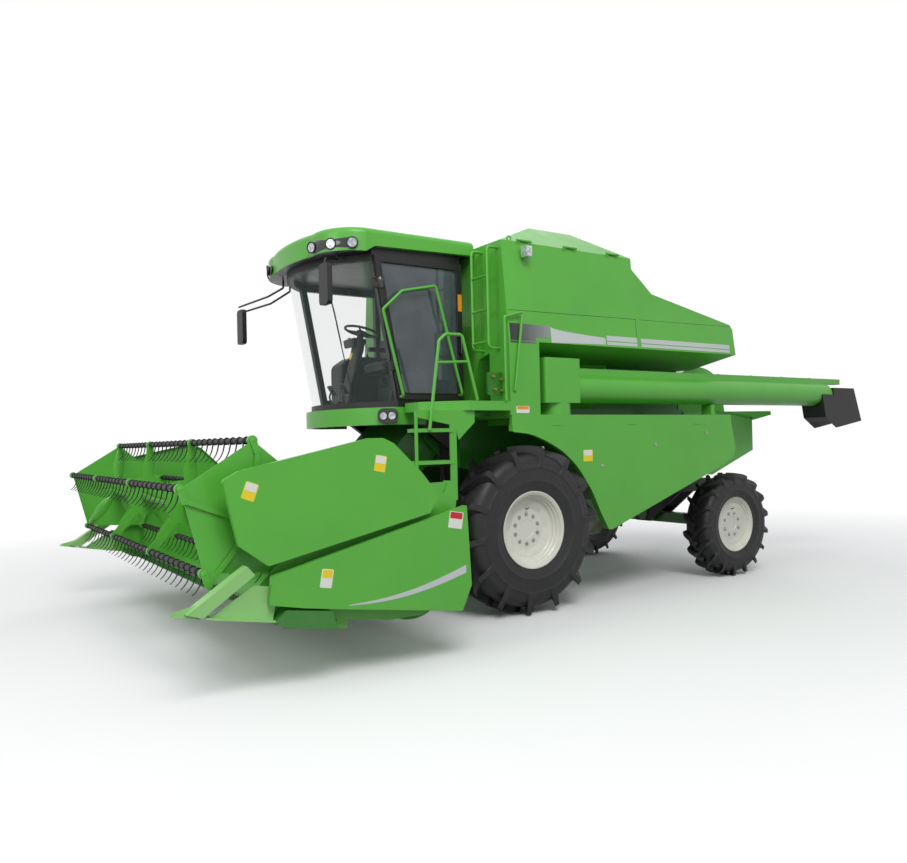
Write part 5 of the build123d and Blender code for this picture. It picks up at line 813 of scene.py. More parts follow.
class HARVESTER_OT_cutter(bpy.types.Operator):
    """Lays the knife sections, the knife's back and its hold-down clips on the cutter bar"""
    bl_idname = "harvester.cutter"
    bl_label = "Knife"

    def execute(self, context):
        # a section is a triangle with a blunt tip, lying on the bar between two guards
        count = 59
        y = (np.arange(count) - (count - 1) / 2) * 0.0762
        outline = np.array([(-0.036, 0.0), (0.036, 0.0), (0.036, 0.018), (0.008, 0.072), (-0.008, 0.072),
                            (-0.036, 0.018)])
        blade = skin([np.stack([2.640 + outline[:, 1], outline[:, 0], np.full(6, z)], -1) for z in (0.1372, 0.1400)])
        blades = copies(blade, y[:, None] * Y)
        make_piece("knife_sections", raise_shape(blades), "steel", "header", 30)
        back = skin([np.array([(2.628, s, 0.1372), (2.648, s, 0.1372), (2.648, s, 0.1430), (2.628, s, 0.1430)])
                     for s in (-2.26, 2.26)])
        clip = skin([np.array([(x, -0.018, z), (x, 0.018, z), (x, 0.018, z + 0.005), (x, -0.018, z + 0.005)])
                     for x, z in ((2.600, 0.1372), (2.622, 0.1375), (2.634, 0.1435), (2.655, 0.1445),
                                  (2.676, 0.1405))])
        clip_y = ((np.arange(20) - 9.5) * 0.2286)[:, None] * Y
        clips = copies(clip, clip_y)
        heads = copies(bolt(0.008, 0.007), (2.611, 0, 0.1420) + clip_y)
        make_piece("knife_back", [raise_shape(back), raise_shape(clips), raise_shape(heads)], "steel", "header", 30)
        return {"FINISHED"}


# Blank plates: name, centre from the front axle, direction of the width, width, height, plate's colour, the share
# of the height that the band over it takes, band's colour, body. Only the last has no twin on the right.
LEAN = (-0.985, 0.0, -0.174)        # the width's direction on a shield of the raised header
BLANK_PLATES = (
    ("shield_front", (3.119, 2.4452, 1.384), (-0.94, 0, -0.34), 0.092, 0.118, "yellow film", 0.45, "white film",
     "header"),
    ("shield_rear", (2.146, 2.4452, 1.535), LEAN, 0.092, 0.118, "yellow film", 0.45, "white film", "header"),
    ("shield_low_front", (2.587, 2.4488, 0.754), LEAN, 0.090, 0.130, "white film", 0.42, "yellow film", "header"),
    ("shield_low_rear", (1.505, 2.4488, 1.081), LEAN, 0.128, 0.128, "white film", 0.38, "red film", "header"),
    ("panel_front", (-0.757, 1.5052, 1.512), -X, 0.128, 0.118, "yellow film", 0.45, "white film",
     "side_panel_left"),
    ("shelf", (0.070, 1.5003, 1.979), -X, 0.160, 0.068, "white film", 0.42, "orange film", "chassis"),
)


class HARVESTER_OT_plates(bpy.types.Operator):
    """Sticks the blank two-coloured plates where the machine carries its plates"""
    bl_idname = "harvester.plates"
    bl_label = "Blank plates"

    def execute(self, context):
        for side, tag, rows in ((1, "", BLANK_PLATES), (-1, "right_", BLANK_PLATES[:-1])):
            for name, centre, along, width, height, colour, share, band_colour, body in rows:
                if side < 0:
                    body = body.replace("left", "right")
                centre, out, along = centre * np.array((1, side, 1)), side * Y, side * unit(along)
                base = oriented_plate(centre, along, out, width, height, 0.010, 0.0016)
                make_piece(f"plate_{tag}{name}", ahead_shape(base), colour, body, 30)
                over = centre + 0.0014 * out + (0.5 - share / 2 - 0.04) * height * np.cross(out, along)
                band = oriented_plate(over, along, out, 0.86 * width, share * height, 0.004, 0.0012)
                make_piece(f"plate_band_{tag}{name}", ahead_shape(band), band_colour, body, 30)
        return {"FINISHED"}


class HARVESTER_OT_stripes(bpy.types.Operator):
    """Lays the silver stripes and the dark fading block on the tank's belt, and paints shade along the pressed seams
    as dark green lines
    """
    bl_idname = "harvester.stripes"
    bl_label = "Stripes and seams"

    def execute(self, context):
        tank, t = ("grain_tank", "engine_hood"), np.linspace(0, 1, 20)
        # each band: name, x from, x to, columns, lower edge, upper edge, finish, thickness, rows
        bands = [("block", 0.20, -0.298, 12, 2.622, 2.812, "fading film", 0.0012, 4),
                 ("swoosh", -0.312, -1.05, 20, 2.645 + 0.015 * t, 2.800 - 0.06 * t ** 0.5 - 0.01 * t, "silver film",
                  0.0012, 4),
                 ("stripe_front_high", -1.07, -1.52, 12, 2.702, 2.756, "silver film", 0.0012, 4),
                 ("stripe_front_low", -1.07, -1.52, 12, 2.660, 2.692, "silver film", 0.0012, 4),
                 ("stripe_rear_high", -1.58, -3.06, 26, 2.702, 2.752, "silver film", 0.0012, 4),
                 ("stripe_rear_low", -1.58, -3.06, 26, 2.660, 2.692, "silver film", 0.0012, 4)]
        # lines of painted shade along the pressed seams; they rise towards the rear by 0.0105 for each metre
        for name, front, rear, columns, low, width in (("seam_shade_front", 0.195, -1.535, 24, 2.938, 0.005),
                                                       ("seam_shade_rear", -1.59, -3.10, 24, 2.9568, 0.0035)):
            start = 0.2 if name == "seam_shade_front" else front
            rise = 0.0105 * (start - np.linspace(front, rear, columns))
            bands.append((name, front, rear, columns, low + rise, low + width + rise, "seam shade", 0.0008, 2))
        # painted shade along the upright seam
        bands.append(("seam_upright", -1.518, -1.523, 2, 2.660, 2.950, "seam shade", 0.0008, 8))
        for side, tag in ((1, "left"), (-1, "right")):
            for name, front, rear, columns, low, high, finish, thickness, rows in bands:
                draped(f"belt_{name}_{tag}", np.linspace(front, rear, columns), low, high, side, tank, finish,
                       "chassis", thickness, rows)
        # the swoosh low on each header shield: a band between two curves that meet at the front
        t = np.linspace(0, 1, 24)
        x = 2.42 - 1.00 * t
        low = 0.545 - 0.030 * np.sin(pi * t) + 0.125 * t ** 1.5
        high = low + 0.004 + 0.055 * t ** 0.8
        for side, tag in ((1, "left"), (-1, "right")):
            draped(f"shield_swoosh_{tag}", x, low, high, side, ("header_shields",), "silver film", "header",
                   start=2.6)
        return {"FINISHED"}


def lamp_unit(centre, out, radius, depth):
    """Round lamp: a bezel ring with a bright ribbed bowl in it. Returns the bezel and the bowl."""
    r, d = radius, depth
    bezel = turned([(r * 0.80, -0.2 * d), (r * 0.82, 0.55 * d), (r * 0.90, 0.80 * d), (r * 1.0, 0.74 * d),
                    (r * 1.02, 0.3 * d), (r * 1.0, -0.2 * d)], centre, out, 40, closed=True)
    bowl = turned([(r * 0.04, 0.26 * d), (r * 0.10, 0.22 * d), (r * 0.16, -0.05 * d), (r * 0.40, 0.0),
                   (r * 0.62, 0.20 * d), (r * 0.79, 0.50 * d)], centre, out, 40)
    return bezel, bowl


# the roof's lamps: x, distance from the middle, turn outwards in degrees
ROOF_LAMPS = ((1.560, 0.905, 62), (1.700, 0.765, 42), (1.792, 0.560, 20))
LAMP_HEIGHT = 3.545
BEACON = (1.560, -0.250, 0.0)


class HARVESTER_OT_lamps(bpy.types.Operator):
    """Builds the roof's lamp pods, the headlamps and the fluted beacon"""
    bl_idname = "harvester.lamps"
    bl_label = "Lamps"

    def execute(self, context):
        pods, bezels, bowls = [], [], []
        for side in (1, -1):
            # pod: a long oval carried along the roof's corner, on the curve through the three lamps
            first, middle, last = (np.array([x, y * side, LAMP_HEIGHT]) for x, y, _ in ROOF_LAMPS)
            u = np.linspace(-0.17, 1.17, 34)[:, None]
            line = (1 - u) ** 2 * first + 2 * u * (1 - u) * (2 * middle - (first + last) / 2) + u ** 2 * last
            t = np.linspace(-1, 1, len(line))[:, None]
            size = (1 - t ** 4) ** 0.5 * 0.98 + 0.02
            a = circle(20)[None, :, None]
            out = np.cross(Z, unit(np.gradient(line, axis=0))) * side
            oval = 0.030 * np.cos(a) * out[:, None] + 0.068 * np.sin(a) * Z
            pods.append(skin(line[:, None] + size[:, None] * oval))
            for x, y, turn in ROOF_LAMPS:
                facing = unit([cos(radians(turn)), side * sin(radians(turn)), -0.10])
                bezel, bowl = lamp_unit(np.array([x, side * y, LAMP_HEIGHT]) + 0.024 * facing, facing, 0.054, 0.022)
                bezels.append(bezel)
                bowls.append(bowl)
        for side in (1, -1):
            out = unit([0.6258, 0.78 * side, 0.0])
            across = np.cross(Z, out)
            centre = np.array([1.205, 0.872 * side, 1.944])
            pods.append(plate(rounded(0.200, 0.142, 0.05), 0.012, centre + 0.002 * out, across, Z, 0.004))
            for step in (-0.042, 0.042):
                bezel, bowl = lamp_unit(centre + 0.015 * out + step * across, out, 0.044, 0.016)
                bezels.append(bezel)
                bowls.append(bowl)
        make_piece("lamp_housings", [ahead_shape(s) for s in pods], "gloss black", "chassis", 35)
        make_piece("lamp_bezels", [ahead_shape(s) for s in bezels], "plastic", "chassis", 35)
        make_piece("lamp_bowls", [ahead_shape(s) for s in bowls], "lens", "chassis", 35)
        # beacon: white foot, amber drum with flutes r = R + 0.0012 cos 24 a
        foot = turned([(0.050, 3.700), (0.052, 3.702), (0.052, 3.728), (0.046, 3.738), (0.040, 3.742)],
                      BEACON, Z, 40)
        make_piece("beacon_foot", ahead_shape(foot), "cream", "chassis", 35)
        heights = np.array([3.742, 3.746, 3.800, 3.818, 3.827, 3.830])
        radii = np.array([0.044, 0.045, 0.044, 0.036, 0.020, 0.004])
        a = circle(96)[None]
        r = radii[:, None] + 0.0012 * np.cos(24 * a) * (radii[:, None] > 0.03)
        drum = np.stack([r * np.cos(a), r * np.sin(a), np.broadcast_to(heights[:, None], r.shape)], -1)
        piece = make_piece("beacon_drum", ahead_shape(skin(drum + BEACON)), "amber", "chassis", 60)
        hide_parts("beacon")
        return {"FINISHED"}


def lofted(outline, y_low, y_high, corner, steps=6):
    """Soft block: the side outline carried across from y_low to y_high, drawn in near both ends by
    corner (1 - sqrt(1 - u^2))."""
    outline = np.asarray(outline, float)
    middle = outline.mean(0)
    u = np.linspace(-1, 0, steps)
    draw = corner * (1 - np.sqrt(1 - u ** 2))
    place = y_low + corner * (1 + u)
    place = np.concatenate([place, (y_low + y_high) - place[::-1]])
    draw = np.concatenate([draw, draw[::-1]])
    reach = np.linalg.norm(outline - middle, axis=1, keepdims=True)
    rings = middle + (outline - middle) * (1 - draw[:, None, None] / reach)
    return skin(np.stack([rings[..., 0], np.broadcast_to(place[:, None], rings.shape[:2]), rings[..., 1]], -1))


def side_outline(corners, reach=0.03, steps=5):
    """Closed side outline with every corner rounded by the curve (1-u)^2 A + 2u(1-u) P + u^2 B."""
    p = np.asarray(corners, float)
    before, after = np.roll(p, 1, axis=0) - p, np.roll(p, -1, axis=0) - p
    a = p + before * np.minimum(reach / np.linalg.norm(before, axis=1, keepdims=True), 0.45)
    b = p + after * np.minimum(reach / np.linalg.norm(after, axis=1, keepdims=True), 0.45)
    u = np.linspace(0, 1, steps)[None, :, None]
    curve = (1 - u) ** 2 * a[:, None] + 2 * u * (1 - u) * p[:, None] + u ** 2 * b[:, None]
    return curve.reshape(-1, 2)


def place_of(piece):
    """Where the piece's points are, one row each."""
    flat = np.empty(len(piece.data.vertices) * 3)
    piece.data.vertices.foreach_get("co", flat)
    return flat.reshape(-1, 3)


NET_SIZE = 0.012                    # voxel of the cushions' net
PUFF_FRAMES = 14
PUFF_PRESSURE = 4.0
PUFF_CAP = 0.012                    # how far a cushion's point may move


def padded_block(name, shape, body):
    """Cushion: the block remeshed, then puffed by a short cloth run whose points move no more than the cap."""
    piece = make_piece(name, shape, "cloth", body, 60)
    remesh = piece.modifiers.new("even net", "REMESH")
    remesh.mode = "VOXEL"
    remesh.voxel_size = NET_SIZE
    bake(piece)
    start = place_of(piece)
    cloth = piece.modifiers.new("puff", "CLOTH")
    cloth.settings.use_pressure = True
    cloth.settings.uniform_pressure_force = PUFF_PRESSURE
    cloth.settings.effector_weights.gravity = 0
    cloth.settings.quality = 4
    scene = bpy.context.scene
    for frame_number in range(1, PUFF_FRAMES + 1):
        scene.frame_set(frame_number)
    bake(piece)
    scene.frame_set(1)
    move = place_of(piece) - start
    length = np.linalg.norm(move, axis=1, keepdims=True)
    move *= np.minimum(1, PUFF_CAP / np.maximum(length, 1e-9))
    piece.data.vertices.foreach_set("co", (start + move).ravel())
    piece.data.polygons.foreach_set("use_smooth", np.ones(len(piece.data.polygons), bool))
    smooth = piece.modifiers.new("soften", "SUBSURF")
    smooth.levels = smooth.render_levels = 1
    bake(piece)
    return piece


class HARVESTER_OT_seat(bpy.types.Operator):
    """Upholsters the operator's seat and gives it a base with bellows, armrests and piping"""
    bl_idname = "harvester.seat"
    bl_label = "Seat"

    def execute(self, context):
        cushion = side_outline([(0.440, 2.452), (0.900, 2.466), (0.905, 2.528), (0.860, 2.546), (0.500, 2.520),
                                (0.440, 2.530)], 0.035)
        back = side_outline([(0.412, 2.535), (0.506, 2.545), (0.520, 2.740), (0.484, 3.100), (0.440, 3.130),
                             (0.408, 3.105), (0.405, 2.740)], 0.035)
        cushion, back = lofted(cushion, -0.245, 0.245, 0.045), lofted(back, -0.235, 0.235, 0.045)
        cushion_piece = padded_block("seat_cushion", ahead_shape(cushion), "chassis")
        padded_block("seat_back", ahead_shape(back), "chassis")
        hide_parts("operator_seat")
        base = lofted(side_outline([(0.500, 2.092), (0.780, 2.092), (0.755, 2.300), (0.790, 2.430), (0.490, 2.430),
                                    (0.525, 2.300)], 0.03), -0.150, 0.150, 0.02)
        pan = lofted(side_outline([(0.440, 2.424), (0.880, 2.424), (0.905, 2.456), (0.430, 2.456)], 0.012),
                     -0.235, 0.235, 0.02)
        bellows = [turned([(0.145, 0), (0.158, 0.012), (0.145, 0.024)], (0.640, 0, 2.290 + 0.024 * i), Z, 40)
                   for i in range(5)]
        arms = [tube(bent([(0.440, y, 2.700), (0.480, y, 2.715), (0.760, y, 2.722), (0.800, y, 2.715)], 0.03),
                     0.026, 12) for y in (-0.265, 0.265)]
        make_piece("seat_base", [ahead_shape(s) for s in (base, pan, *bellows, *arms)], "plastic", "chassis", 40)
        # piping on a rounded square: each of cos t and sin t to the power 0.45, with its sign
        t = circle(60)
        corner = np.stack([np.cos(t), np.sin(t)], -1)
        corner = np.sign(corner) * np.abs(corner) ** 0.45
        piping = np.stack([0.672 + 0.226 * corner[:, 0], 0.238 * corner[:, 1], 2.531 + 0.012 * corner[:, 0]], -1)
        loop = tube(np.vstack([piping, piping[:1]]), 0.0045, 8)
        make_piece("seat_piping", ahead_shape(loop), "rubber", "chassis", 60)
        return {"FINISHED"}


class HARVESTER_OT_controls(bpy.types.Operator):
    """Builds the steering column and wheel, the side console, the knobbed levers and the pedals"""
    bl_idname = "harvester.controls"
    bl_label = "Controls"

    def execute(self, context):
        foot = np.array([1.220, 0.0, 2.120])
        axis = unit([-0.257, 0.0, 0.966])
        column = turned([(0.085, -0.02), (0.080, 0.05), (0.060, 0.10), (0.056, 0.45), (0.066, 0.58), (0.060, 0.66),
                         (0.036, 0.70), (0.030, 0.757)], foot, axis, 32)
        # rim of the wheel: a ring of radius 0.176 whose grip swells by 0.0006 cos 30 a
        over = np.cross(axis, Y)
        a = circle(90)
        out = np.cos(a)[:, None] * Y + np.sin(a)[:, None] * over
        grip = (0.0128 + 0.0006 * np.cos(30 * a))[:, None, None]
        ring = hoop(foot + 0.775 * axis + 0.176 * out, out, axis, grip, 10)
        hub = turned([(0.052, 0.740), (0.056, 0.752), (0.050, 0.775), (0.030, 0.782), (0.008, 0.784)],
                     foot, axis, 32)
        spokes = []
        for turn in (0.5 * pi, 0.5 * pi + 2.2, 0.5 * pi - 2.2):
            away = cos(turn) * Y + sin(turn) * over
            path = (foot + 0.762 * axis + np.array([0.03, 0.08, 0.13, 0.172])[:, None] * away
                    + np.array([0, 0.004, 0.008, 0.012])[:, None] * axis)
            spokes.append(tube(path, (0.014, 0.012, 0.009, 0.008), 8, axis))
        console = lofted(side_outline([(0.490, 2.092), (1.108, 2.092), (1.108, 2.540), (0.960, 2.640),
                                       (0.490, 2.648)], 0.05), -0.608, -0.352, 0.03)
        panel = plate(rounded(0.40, 0.17, 0.03), 0.006, (0.715, -0.480, 2.6440), X, Y, 0.002)
        keys = copies(plate(rounded(0.030, 0.020, 0.004), 0.007, (0, 0, 0), X, Y, 0.002),
                      [(0.58 + 0.045 * i, -0.545, 2.6500) for i in range(4)])
        dash = lofted(side_outline([(1.120, 2.700), (1.170, 2.690), (1.188, 2.770), (1.145, 2.792)], 0.012),
                      -0.11, 0.11, 0.012)
        shapes = [column, ring, hub, *spokes, console, panel, keys, dash]
        pedals = []
        for y in (-0.17, 0.13):
            pedals.append(tube(bent([(1.300, y, 2.104), (1.330, y, 2.18), (1.300, y, 2.25)], 0.03), 0.010, 8, Y))
            pedals.append(plate(rounded(0.09, 0.12, 0.015), 0.012, (1.294, y, 2.252), Y, (0.55, 0, 0.83), 0.003))
        made = make_piece("steering_and_console", [ahead_shape(s) for s in (*shapes, *pedals)], "plastic",
                          "chassis", 35)
        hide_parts("steering_console")
        rods, knobs = [], []
        for x in (0.720, 0.810, 0.900):
            rods.append(tube(bent([(x, -0.46, 2.642), (x, -0.46, 2.74), (x + 0.028, -0.46, 2.815)], 0.04),
                             0.0075, 10, Y))
            knobs.append(turned([(0.010, -0.012), (0.019, -0.004), (0.023, 0.016), (0.021, 0.036), (0.012, 0.047),
                                 (0.004, 0.050)], (x + 0.028, -0.46, 2.815), (0.25, 0, 0.97), 20))
            knobs.append(turned([(0.024, 0), (0.020, 0.012), (0.014, 0.020), (0.012, 0.034), (0.0085, 0.040)],
                                (x, -0.46, 2.646), Z, 20))
        make_piece("lever_rods", [ahead_shape(s) for s in rods], "steel", "chassis", 35)
        make_piece("lever_knobs", [ahead_shape(s) for s in knobs], "gloss black", "chassis", 40)
        tag = plate(rounded(0.05, 0.07, 0.006), 0.002, foot + 0.50 * axis + (0.0605, 0, 0.0), Y, axis)
        make_piece("column_plate", ahead_shape(tag), "yellow film", "chassis", 30)
        return {"FINISHED"}


def mirror_shell(centre, out, width, height, depth):
    """Mirror housing: its round-cornered outline at a size and depth for each row. Returns it and its glass."""
    outline = rounded(width, height, 0.035, 6)
    out = unit(out)
    across = unit(np.cross(Z, out))
    up = np.cross(out, across)
    # size, share of the depth
    rows = [(0.97, 0.0), (1.0, 0.15), (1.0, 0.35), (0.985, 0.55), (0.93, 0.75), (0.80, 0.90), (0.55, 0.985),
            (0.25, 1.0)]
    middle = np.asarray(centre, float)
    rings = [middle + s * (outline[:, :1] * across + outline[:, 1:] * up) - (d - 0.5) * depth * out for s, d in rows]
    glass = plate(rounded(width - 0.022, height - 0.022, 0.028), 0.0018, middle + 0.5 * depth * out, across, up,
                  0.0006)
    return skin(rings), glass


class HARVESTER_OT_mirrors(bpy.types.Operator):
    """Hangs the housings and glasses of the two mirrors on their rods, and lays the wiper on the windshield"""
    bl_idname = "harvester.mirrors"
    bl_label = "Mirrors and wiper"

    def execute(self, context):
        right_shell, right_glass = mirror_shell((1.765, -1.590, 3.080), -X, 0.188, 0.398, 0.048)
        left_shell, left_glass = mirror_shell((1.790, 0.800, 3.160), -X, 0.188, 0.378, 0.048)
        clamps = [turned([(0.0135, 0), (0.026, 0.002), (0.026, 0.030), (0.0135, 0.032)], place, Z, 16, closed=True)
                  for place in ((1.735, -1.590, 3.20), (1.735, -1.590, 2.96))]
        make_piece("mirror_housings", [ahead_shape(s) for s in (right_shell, left_shell, *clamps)], "plastic",
                   "chassis", 40)
        make_piece("mirror_glasses", [ahead_shape(s) for s in (right_glass, left_glass)], "chrome", "chassis", 30)
        # wiper at rest along the windshield's left edge
        arm = tube(bent([(1.406, 0.520, 2.185), (1.456, 0.520, 2.400), (1.546, 0.497, 2.860)], 0.05), 0.0055, 8, Y)
        blade = tube([(1.497, 0.505, 2.640), (1.562, 0.490, 2.960), (1.624, 0.470, 3.240)], (0.005, 0.008, 0.005),
                     8, Y)
        make_piece("windshield_wiper", [ahead_shape(arm), ahead_shape(blade)], "rubber", "chassis", 40)
        return {"FINISHED"}


# the side panel's upper front edge over the front wheel, from the front axle
ARCH = np.array([(0.205, 1.772), (0.0, 1.752), (-0.200, 1.680), (-0.400, 1.580), (-0.598, 1.418), (-0.795, 1.155),
                 (-0.915, 0.915), (-1.016, 0.745)])


class HARVESTER_OT_body_trim(bpy.types.Operator):
    """Adds the beaded arch edges, panel fasteners, lifting eyes, channel clips and the hydraulic block"""
    bl_idname = "harvester.body_trim"
    bl_label = "Body trim"

    def execute(self, context):
        for side, tag in ((1, "left"), (-1, "right")):
            # bead along the arch's edge
            path = bent(np.stack([ARCH[:, 0] - 0.010, np.full(8, side * 1.507), ARCH[:, 1] - 0.004], -1), 0.08, 5)
            make_piece(f"arch_edge_{tag}", ahead_shape(tube(path, 0.009, 10, Y)), "green", f"side_panel_{tag}", 60)
            knobs = [turned([(0.020, 0), (0.020, 0.004), (0.012, 0.008), (0.012, 0.012), (0.004, 0.014)],
                            (x, side * 1.505, z), side * Y, 20)
                     for x, z in ((-0.16, 1.60), (-0.95, 1.40), (-1.75, 1.60), (-2.60, 1.72))]
            make_piece(f"panel_fasteners_{tag}", [ahead_shape(s) for s in knobs], "steel", f"side_panel_{tag}", 35)
        eyes, clips = [], []
        for x, y, z in ((0.10, 1.380, 3.655), (-1.41, 1.360, 3.600)):
            a = circle(28)[:, None]
            out = np.cos(a) * X + np.sin(a) * Z
            eyes.append(hoop((x, y, z) + 0.024 * out, out, Y, 0.007))
            eyes.append(turned([(0.022, 0), (0.022, 0.006), (0.012, 0.012), (0.010, 0.020)],
                               (x, y, z - 0.046), Z, 16))
        for x in np.linspace(-1.2, -4.9, 7):
            clips.append(plate(rounded(0.045, 0.030, 0.006), 0.005, (x, 1.330, 2.4148), X, Y, 0.0015))
            clips.append(turned([(0.010, 0), (0.010, 0.006), (0.008, 0.008)], (x, 1.330, 2.4192), Z, 6))
        make_piece("lifting_eyes", [ahead_shape(s) for s in eyes], "green", "chassis", 40)
        make_piece("channel_clips", [ahead_shape(s) for s in clips], "green", "unloading_auger", 35)
        fittings = []
        for x, z in ((0.245, 2.165), (0.325, 2.175), (0.245, 2.275), (0.340, 2.300)):
            fittings.append(turned([(0.013, -0.02), (0.013, 0.020), (0.009, 0.023), (0.009, 0.040), (0.006, 0.043)],
                                   (x, 1.380, z), Y, 6))
        manifold = oriented_plate((0.290, 1.352, 2.232), -X, Y, 0.20, 0.22, 0.012, 0.030)
        make_piece("hydraulic_fittings", [ahead_shape(s) for s in fittings], "brass", "chassis", 35)
        make_piece("hydraulic_block", ahead_shape(manifold), "deep green", "chassis", 35)
        return {"FINISHED"}


class HARVESTER_OT_cab_trim(bpy.types.Operator):
    """Adds the door's seal, handle, hinge covers and the blank plate on its rear post"""
    bl_idname = "harvester.cab_trim"
    bl_label = "Cab trim"

    def execute(self, context):
        # seal: a rounded bead along the inside edge of the door's frame
        corners = np.array([(0.414, 2.158), (1.052, 2.158), (1.282, 3.402), (0.414, 3.402)])
        line = side_outline(corners, 0.05, 6)
        path = np.stack([line[:, 0], np.full(len(line), 0.9178), line[:, 1]], -1)
        seal = hoop(path, np.cross(unit(np.gradient(path, axis=0)), Y), Y, 0.006)
        handle = tube(bent([(0.396, 0.922, 2.735), (0.396, 0.956, 2.725), (0.396, 0.956, 2.565),
                            (0.396, 0.922, 2.555)], 0.02), 0.010, 12, X)
        rose = oriented_plate((0.396, 0.9165, 2.645), -X, Y, 0.046, 0.20, 0.018, 0.008)
        make_piece("door_seal", ahead_shape(seal), "rubber", "cab_door", 60)
        make_piece("door_handle", [ahead_shape(handle), ahead_shape(rose)], "gloss black", "cab_door", 40)
        # hinge covers on the leaning pillar, which goes ahead by 0.248 on its height of 1.360
        covers = [turned([(0.022, -0.055), (0.030, -0.045), (0.032, 0.0), (0.030, 0.045), (0.022, 0.055)],
                         (1.084 + (z - 2.100) * 0.248 / 1.360, 0.925, z), (0.18, 0, 0.98), 24)
                  for z in (2.420, 3.200)]
        make_piece("hinge_covers", [ahead_shape(s) for s in covers], "gloss black", "cab_door", 40)
        tag = oriented_plate((0.385, 0.9166, 3.075), -X, Y, 0.050, 0.170, 0.006, 0.0014)
        make_piece("post_plate", ahead_shape(tag), "orange film", "cab_door", 30)
        return {"FINISHED"}


def seen_directly(tree):
    """1 for rays of the camera, of mirrors and through glass, 0 for the rays that light things."""
    path = tree.nodes.new("ShaderNodeLightPath")
    total = path.outputs["Is Camera Ray"]
    for ray in ("Is Glossy Ray", "Is Transmission Ray"):
        most = tree.nodes.new("ShaderNodeMath")
        most.operation = "MAXIMUM"
        tree.links.new(total, most.inputs[0])
        tree.links.new(path.outputs[ray], most.inputs[1])
        total = most.outputs[0]
    return total


def standing(right, over, back, place):
    """Matrix of a lamp or camera that looks away from back and stands at that place."""
    return Matrix([[right[i], over[i], back[i], place[i]] for i in range(3)] + [[0, 0, 0, 1]])


FLOOR_SHADE = (0.50, 0.50, 0.49)
# the camera's turns in radians, its focal length in pixels of the picture's width, and its place
YAW, PITCH, ROLL = 0.5854, 0.0069, -0.0228
FOCAL_PIXELS, PICTURE_WIDTH = 804.34, 907
EYE = (4.915, 7.591, 1.672)


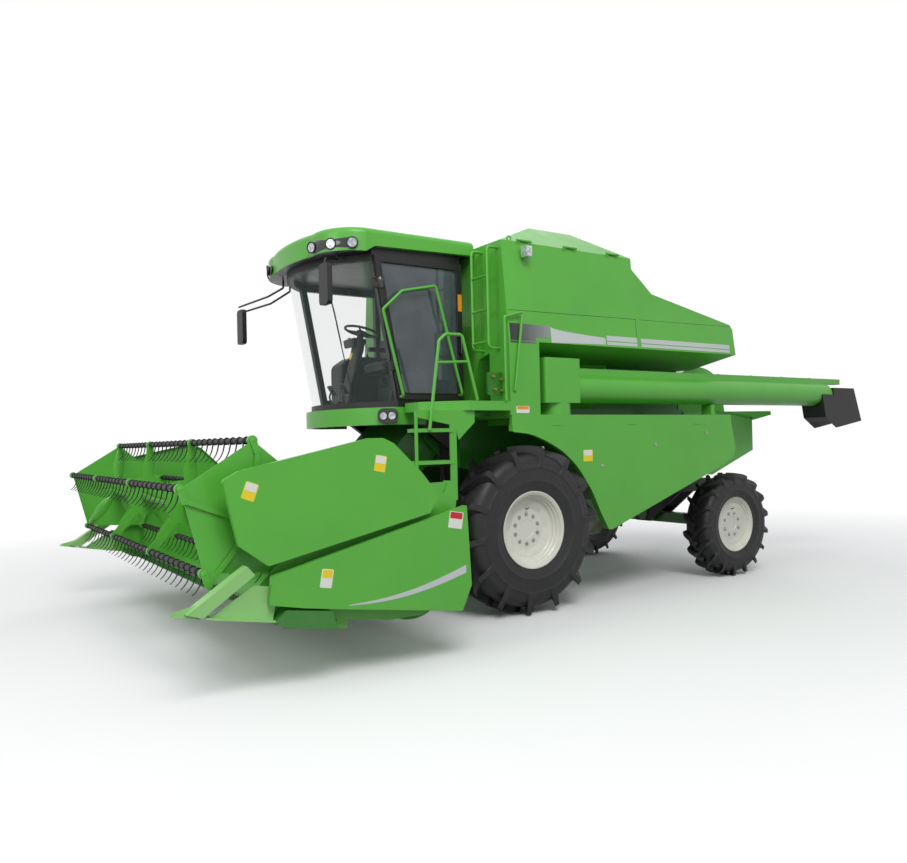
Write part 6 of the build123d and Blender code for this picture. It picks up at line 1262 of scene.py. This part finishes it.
class HARVESTER_OT_stage(bpy.types.Operator):
    """Sets the pale floor, the soft lamps, the white surround and the camera"""
    bl_idname = "harvester.stage"
    bl_label = "Set the stage"

    def execute(self, context):
        scene = context.scene
        scene.view_settings.view_transform = "Standard"
        # pale floor: a wide flat disc just under the tyres; it turns to plain white away from the machine
        turn = circle(96)
        rim = np.stack([90 * np.cos(turn), 90 * np.sin(turn), np.full(96, -0.002)], -1)
        pale = Recipe("pale floor", FLOOR_SHADE, 0.9)
        tree = pale.tree
        MATERIALS["floor"] = pale.material
        floor = new_object("floor", rim, [list(range(96))], "floor")
        # the floor is mid grey for the rays that light the machine from below
        bright = pale.node("ShaderNodeMix", data_type="RGBA")
        bright.inputs[6].default_value = (*linear(FLOOR_SHADE), 1)
        bright.inputs[7].default_value = (*linear((0.97, 0.97, 0.97)), 1)
        pale.link(seen_directly(tree), bright.inputs[0])
        pale.link(bright.outputs[2], pale.shader.inputs["Base Color"])
        pale.tint(pale.ramp(pale.noise(0.5, 2), 0.4, 0.7), (0.93, 0.93, 0.93), 0.15)
        reach = pale.node("ShaderNodeVectorMath", operation="LENGTH")
        pale.link(pale.place.outputs["Object"], reach.inputs[0])
        far = pale.math("MULTIPLY", pale.ramp(reach.outputs["Value"], 4.5, 11.0), seen_directly(tree))
        white_floor = pale.node("ShaderNodeEmission")
        white_floor.inputs["Strength"].default_value = 1.0
        mix = pale.node("ShaderNodeMixShader")
        pale.link(far, mix.inputs[0])
        pale.link(pale.shader.outputs[0], mix.inputs[1])
        pale.link(white_floor.outputs[0], mix.inputs[2])
        pale.link(mix.outputs[0], tree.nodes["Material Output"].inputs["Surface"])

        world = bpy.data.worlds.new("studio")
        scene.world = world
        world.use_nodes = True
        tree = world.node_tree
        soft = tree.nodes["Background"]
        soft.inputs["Color"].default_value = (0.95, 0.97, 1.0, 1)
        soft.inputs["Strength"].default_value = 0.52
        white = tree.nodes.new("ShaderNodeBackground")
        white.inputs["Color"].default_value = (1, 1, 1, 1)
        white.inputs["Strength"].default_value = 1.0
        mix = tree.nodes.new("ShaderNodeMixShader")
        tree.links.new(seen_directly(tree), mix.inputs[0])
        tree.links.new(soft.outputs[0], mix.inputs[1])
        tree.links.new(white.outputs[0], mix.inputs[2])
        tree.links.new(mix.outputs[0], tree.nodes["World Output"].inputs["Surface"])

        for name, place, aim, size, power in (
                ("key lamp", (6.0, 12.0, 13.0), (0.5, 0, 1.8), 8.0, 1500.0),
                ("front lamp", (15.0, 3.0, 6.5), (1.5, 0, 1.5), 7.0, 420.0),
                ("back lamp", (-9.0, -12.0, 11.0), (0, 0, 2.0), 9.0, 450.0)):
            lamp = bpy.data.lights.new(name, "AREA")
            lamp.shape = "DISK"
            lamp.size = size
            lamp.energy = power
            holder = bpy.data.objects.new(name, lamp)
            away = unit(np.subtract(place, aim))
            side = unit(np.cross(Z, away))
            holder.matrix_world = standing(side, np.cross(away, side), away, place)
            scene.collection.objects.link(holder)

        # camera: standing eye height, looking back over the left front corner
        forward = np.array([-cos(PITCH) * sin(YAW), -cos(PITCH) * cos(YAW), sin(PITCH)])
        right = unit(np.cross(forward, Z))
        over = np.cross(right, forward)
        rolled_right = cos(ROLL) * right + sin(ROLL) * over
        rolled_over = -sin(ROLL) * right + cos(ROLL) * over
        lens = bpy.data.cameras.new("camera")
        lens.sensor_fit = "HORIZONTAL"
        lens.sensor_width = 36.0
        lens.lens = FOCAL_PIXELS * lens.sensor_width / PICTURE_WIDTH
        lens.shift_x = -0.00036
        lens.shift_y = 0.0065
        lens.clip_end = 300
        camera = bpy.data.objects.new("camera", lens)
        camera.matrix_world = standing(rolled_right, rolled_over, -forward, ahead(EYE))
        scene.collection.objects.link(camera)
        scene.camera = camera
        return {"FINISHED"}


class HARVESTER_PT_panel(bpy.types.Panel):
    """Lists the dressing steps"""
    bl_label = "Harvester"
    bl_idname = "HARVESTER_PT_panel"
    bl_space_type = "VIEW_3D"
    bl_region_type = "UI"
    bl_category = "Harvester"

    def draw(self, context):
        for group in (context.scene.harvester_paint, context.scene.harvester_fittings):
            for key in group.__annotations__:
                self.layout.prop(group, key)
        for step in STEPS:
            self.layout.operator(step.bl_idname)


STEPS = (HARVESTER_OT_stage, HARVESTER_OT_paint_nodes, HARVESTER_OT_tyres, HARVESTER_OT_rims, HARVESTER_OT_reel,
         HARVESTER_OT_auger, HARVESTER_OT_cutter, HARVESTER_OT_plates, HARVESTER_OT_stripes, HARVESTER_OT_lamps,
         HARVESTER_OT_seat, HARVESTER_OT_controls, HARVESTER_OT_mirrors, HARVESTER_OT_body_trim,
         HARVESTER_OT_cab_trim)
CLASSES = (HarvesterPaint, HarvesterFittings, *STEPS, HARVESTER_PT_panel)


def register():
    for cls in CLASSES:
        bpy.utils.register_class(cls)
    bpy.types.Scene.harvester_paint = PointerProperty(type=HarvesterPaint)
    bpy.types.Scene.harvester_fittings = PointerProperty(type=HarvesterFittings)


def unregister():
    del bpy.types.Scene.harvester_fittings
    del bpy.types.Scene.harvester_paint
    for cls in reversed(CLASSES):
        bpy.utils.unregister_class(cls)


def main():
    register()
    for step in STEPS:
        group, name = step.bl_idname.split(".")
        getattr(getattr(bpy.ops, group), name)()


if __name__ == "__main__":
    main()
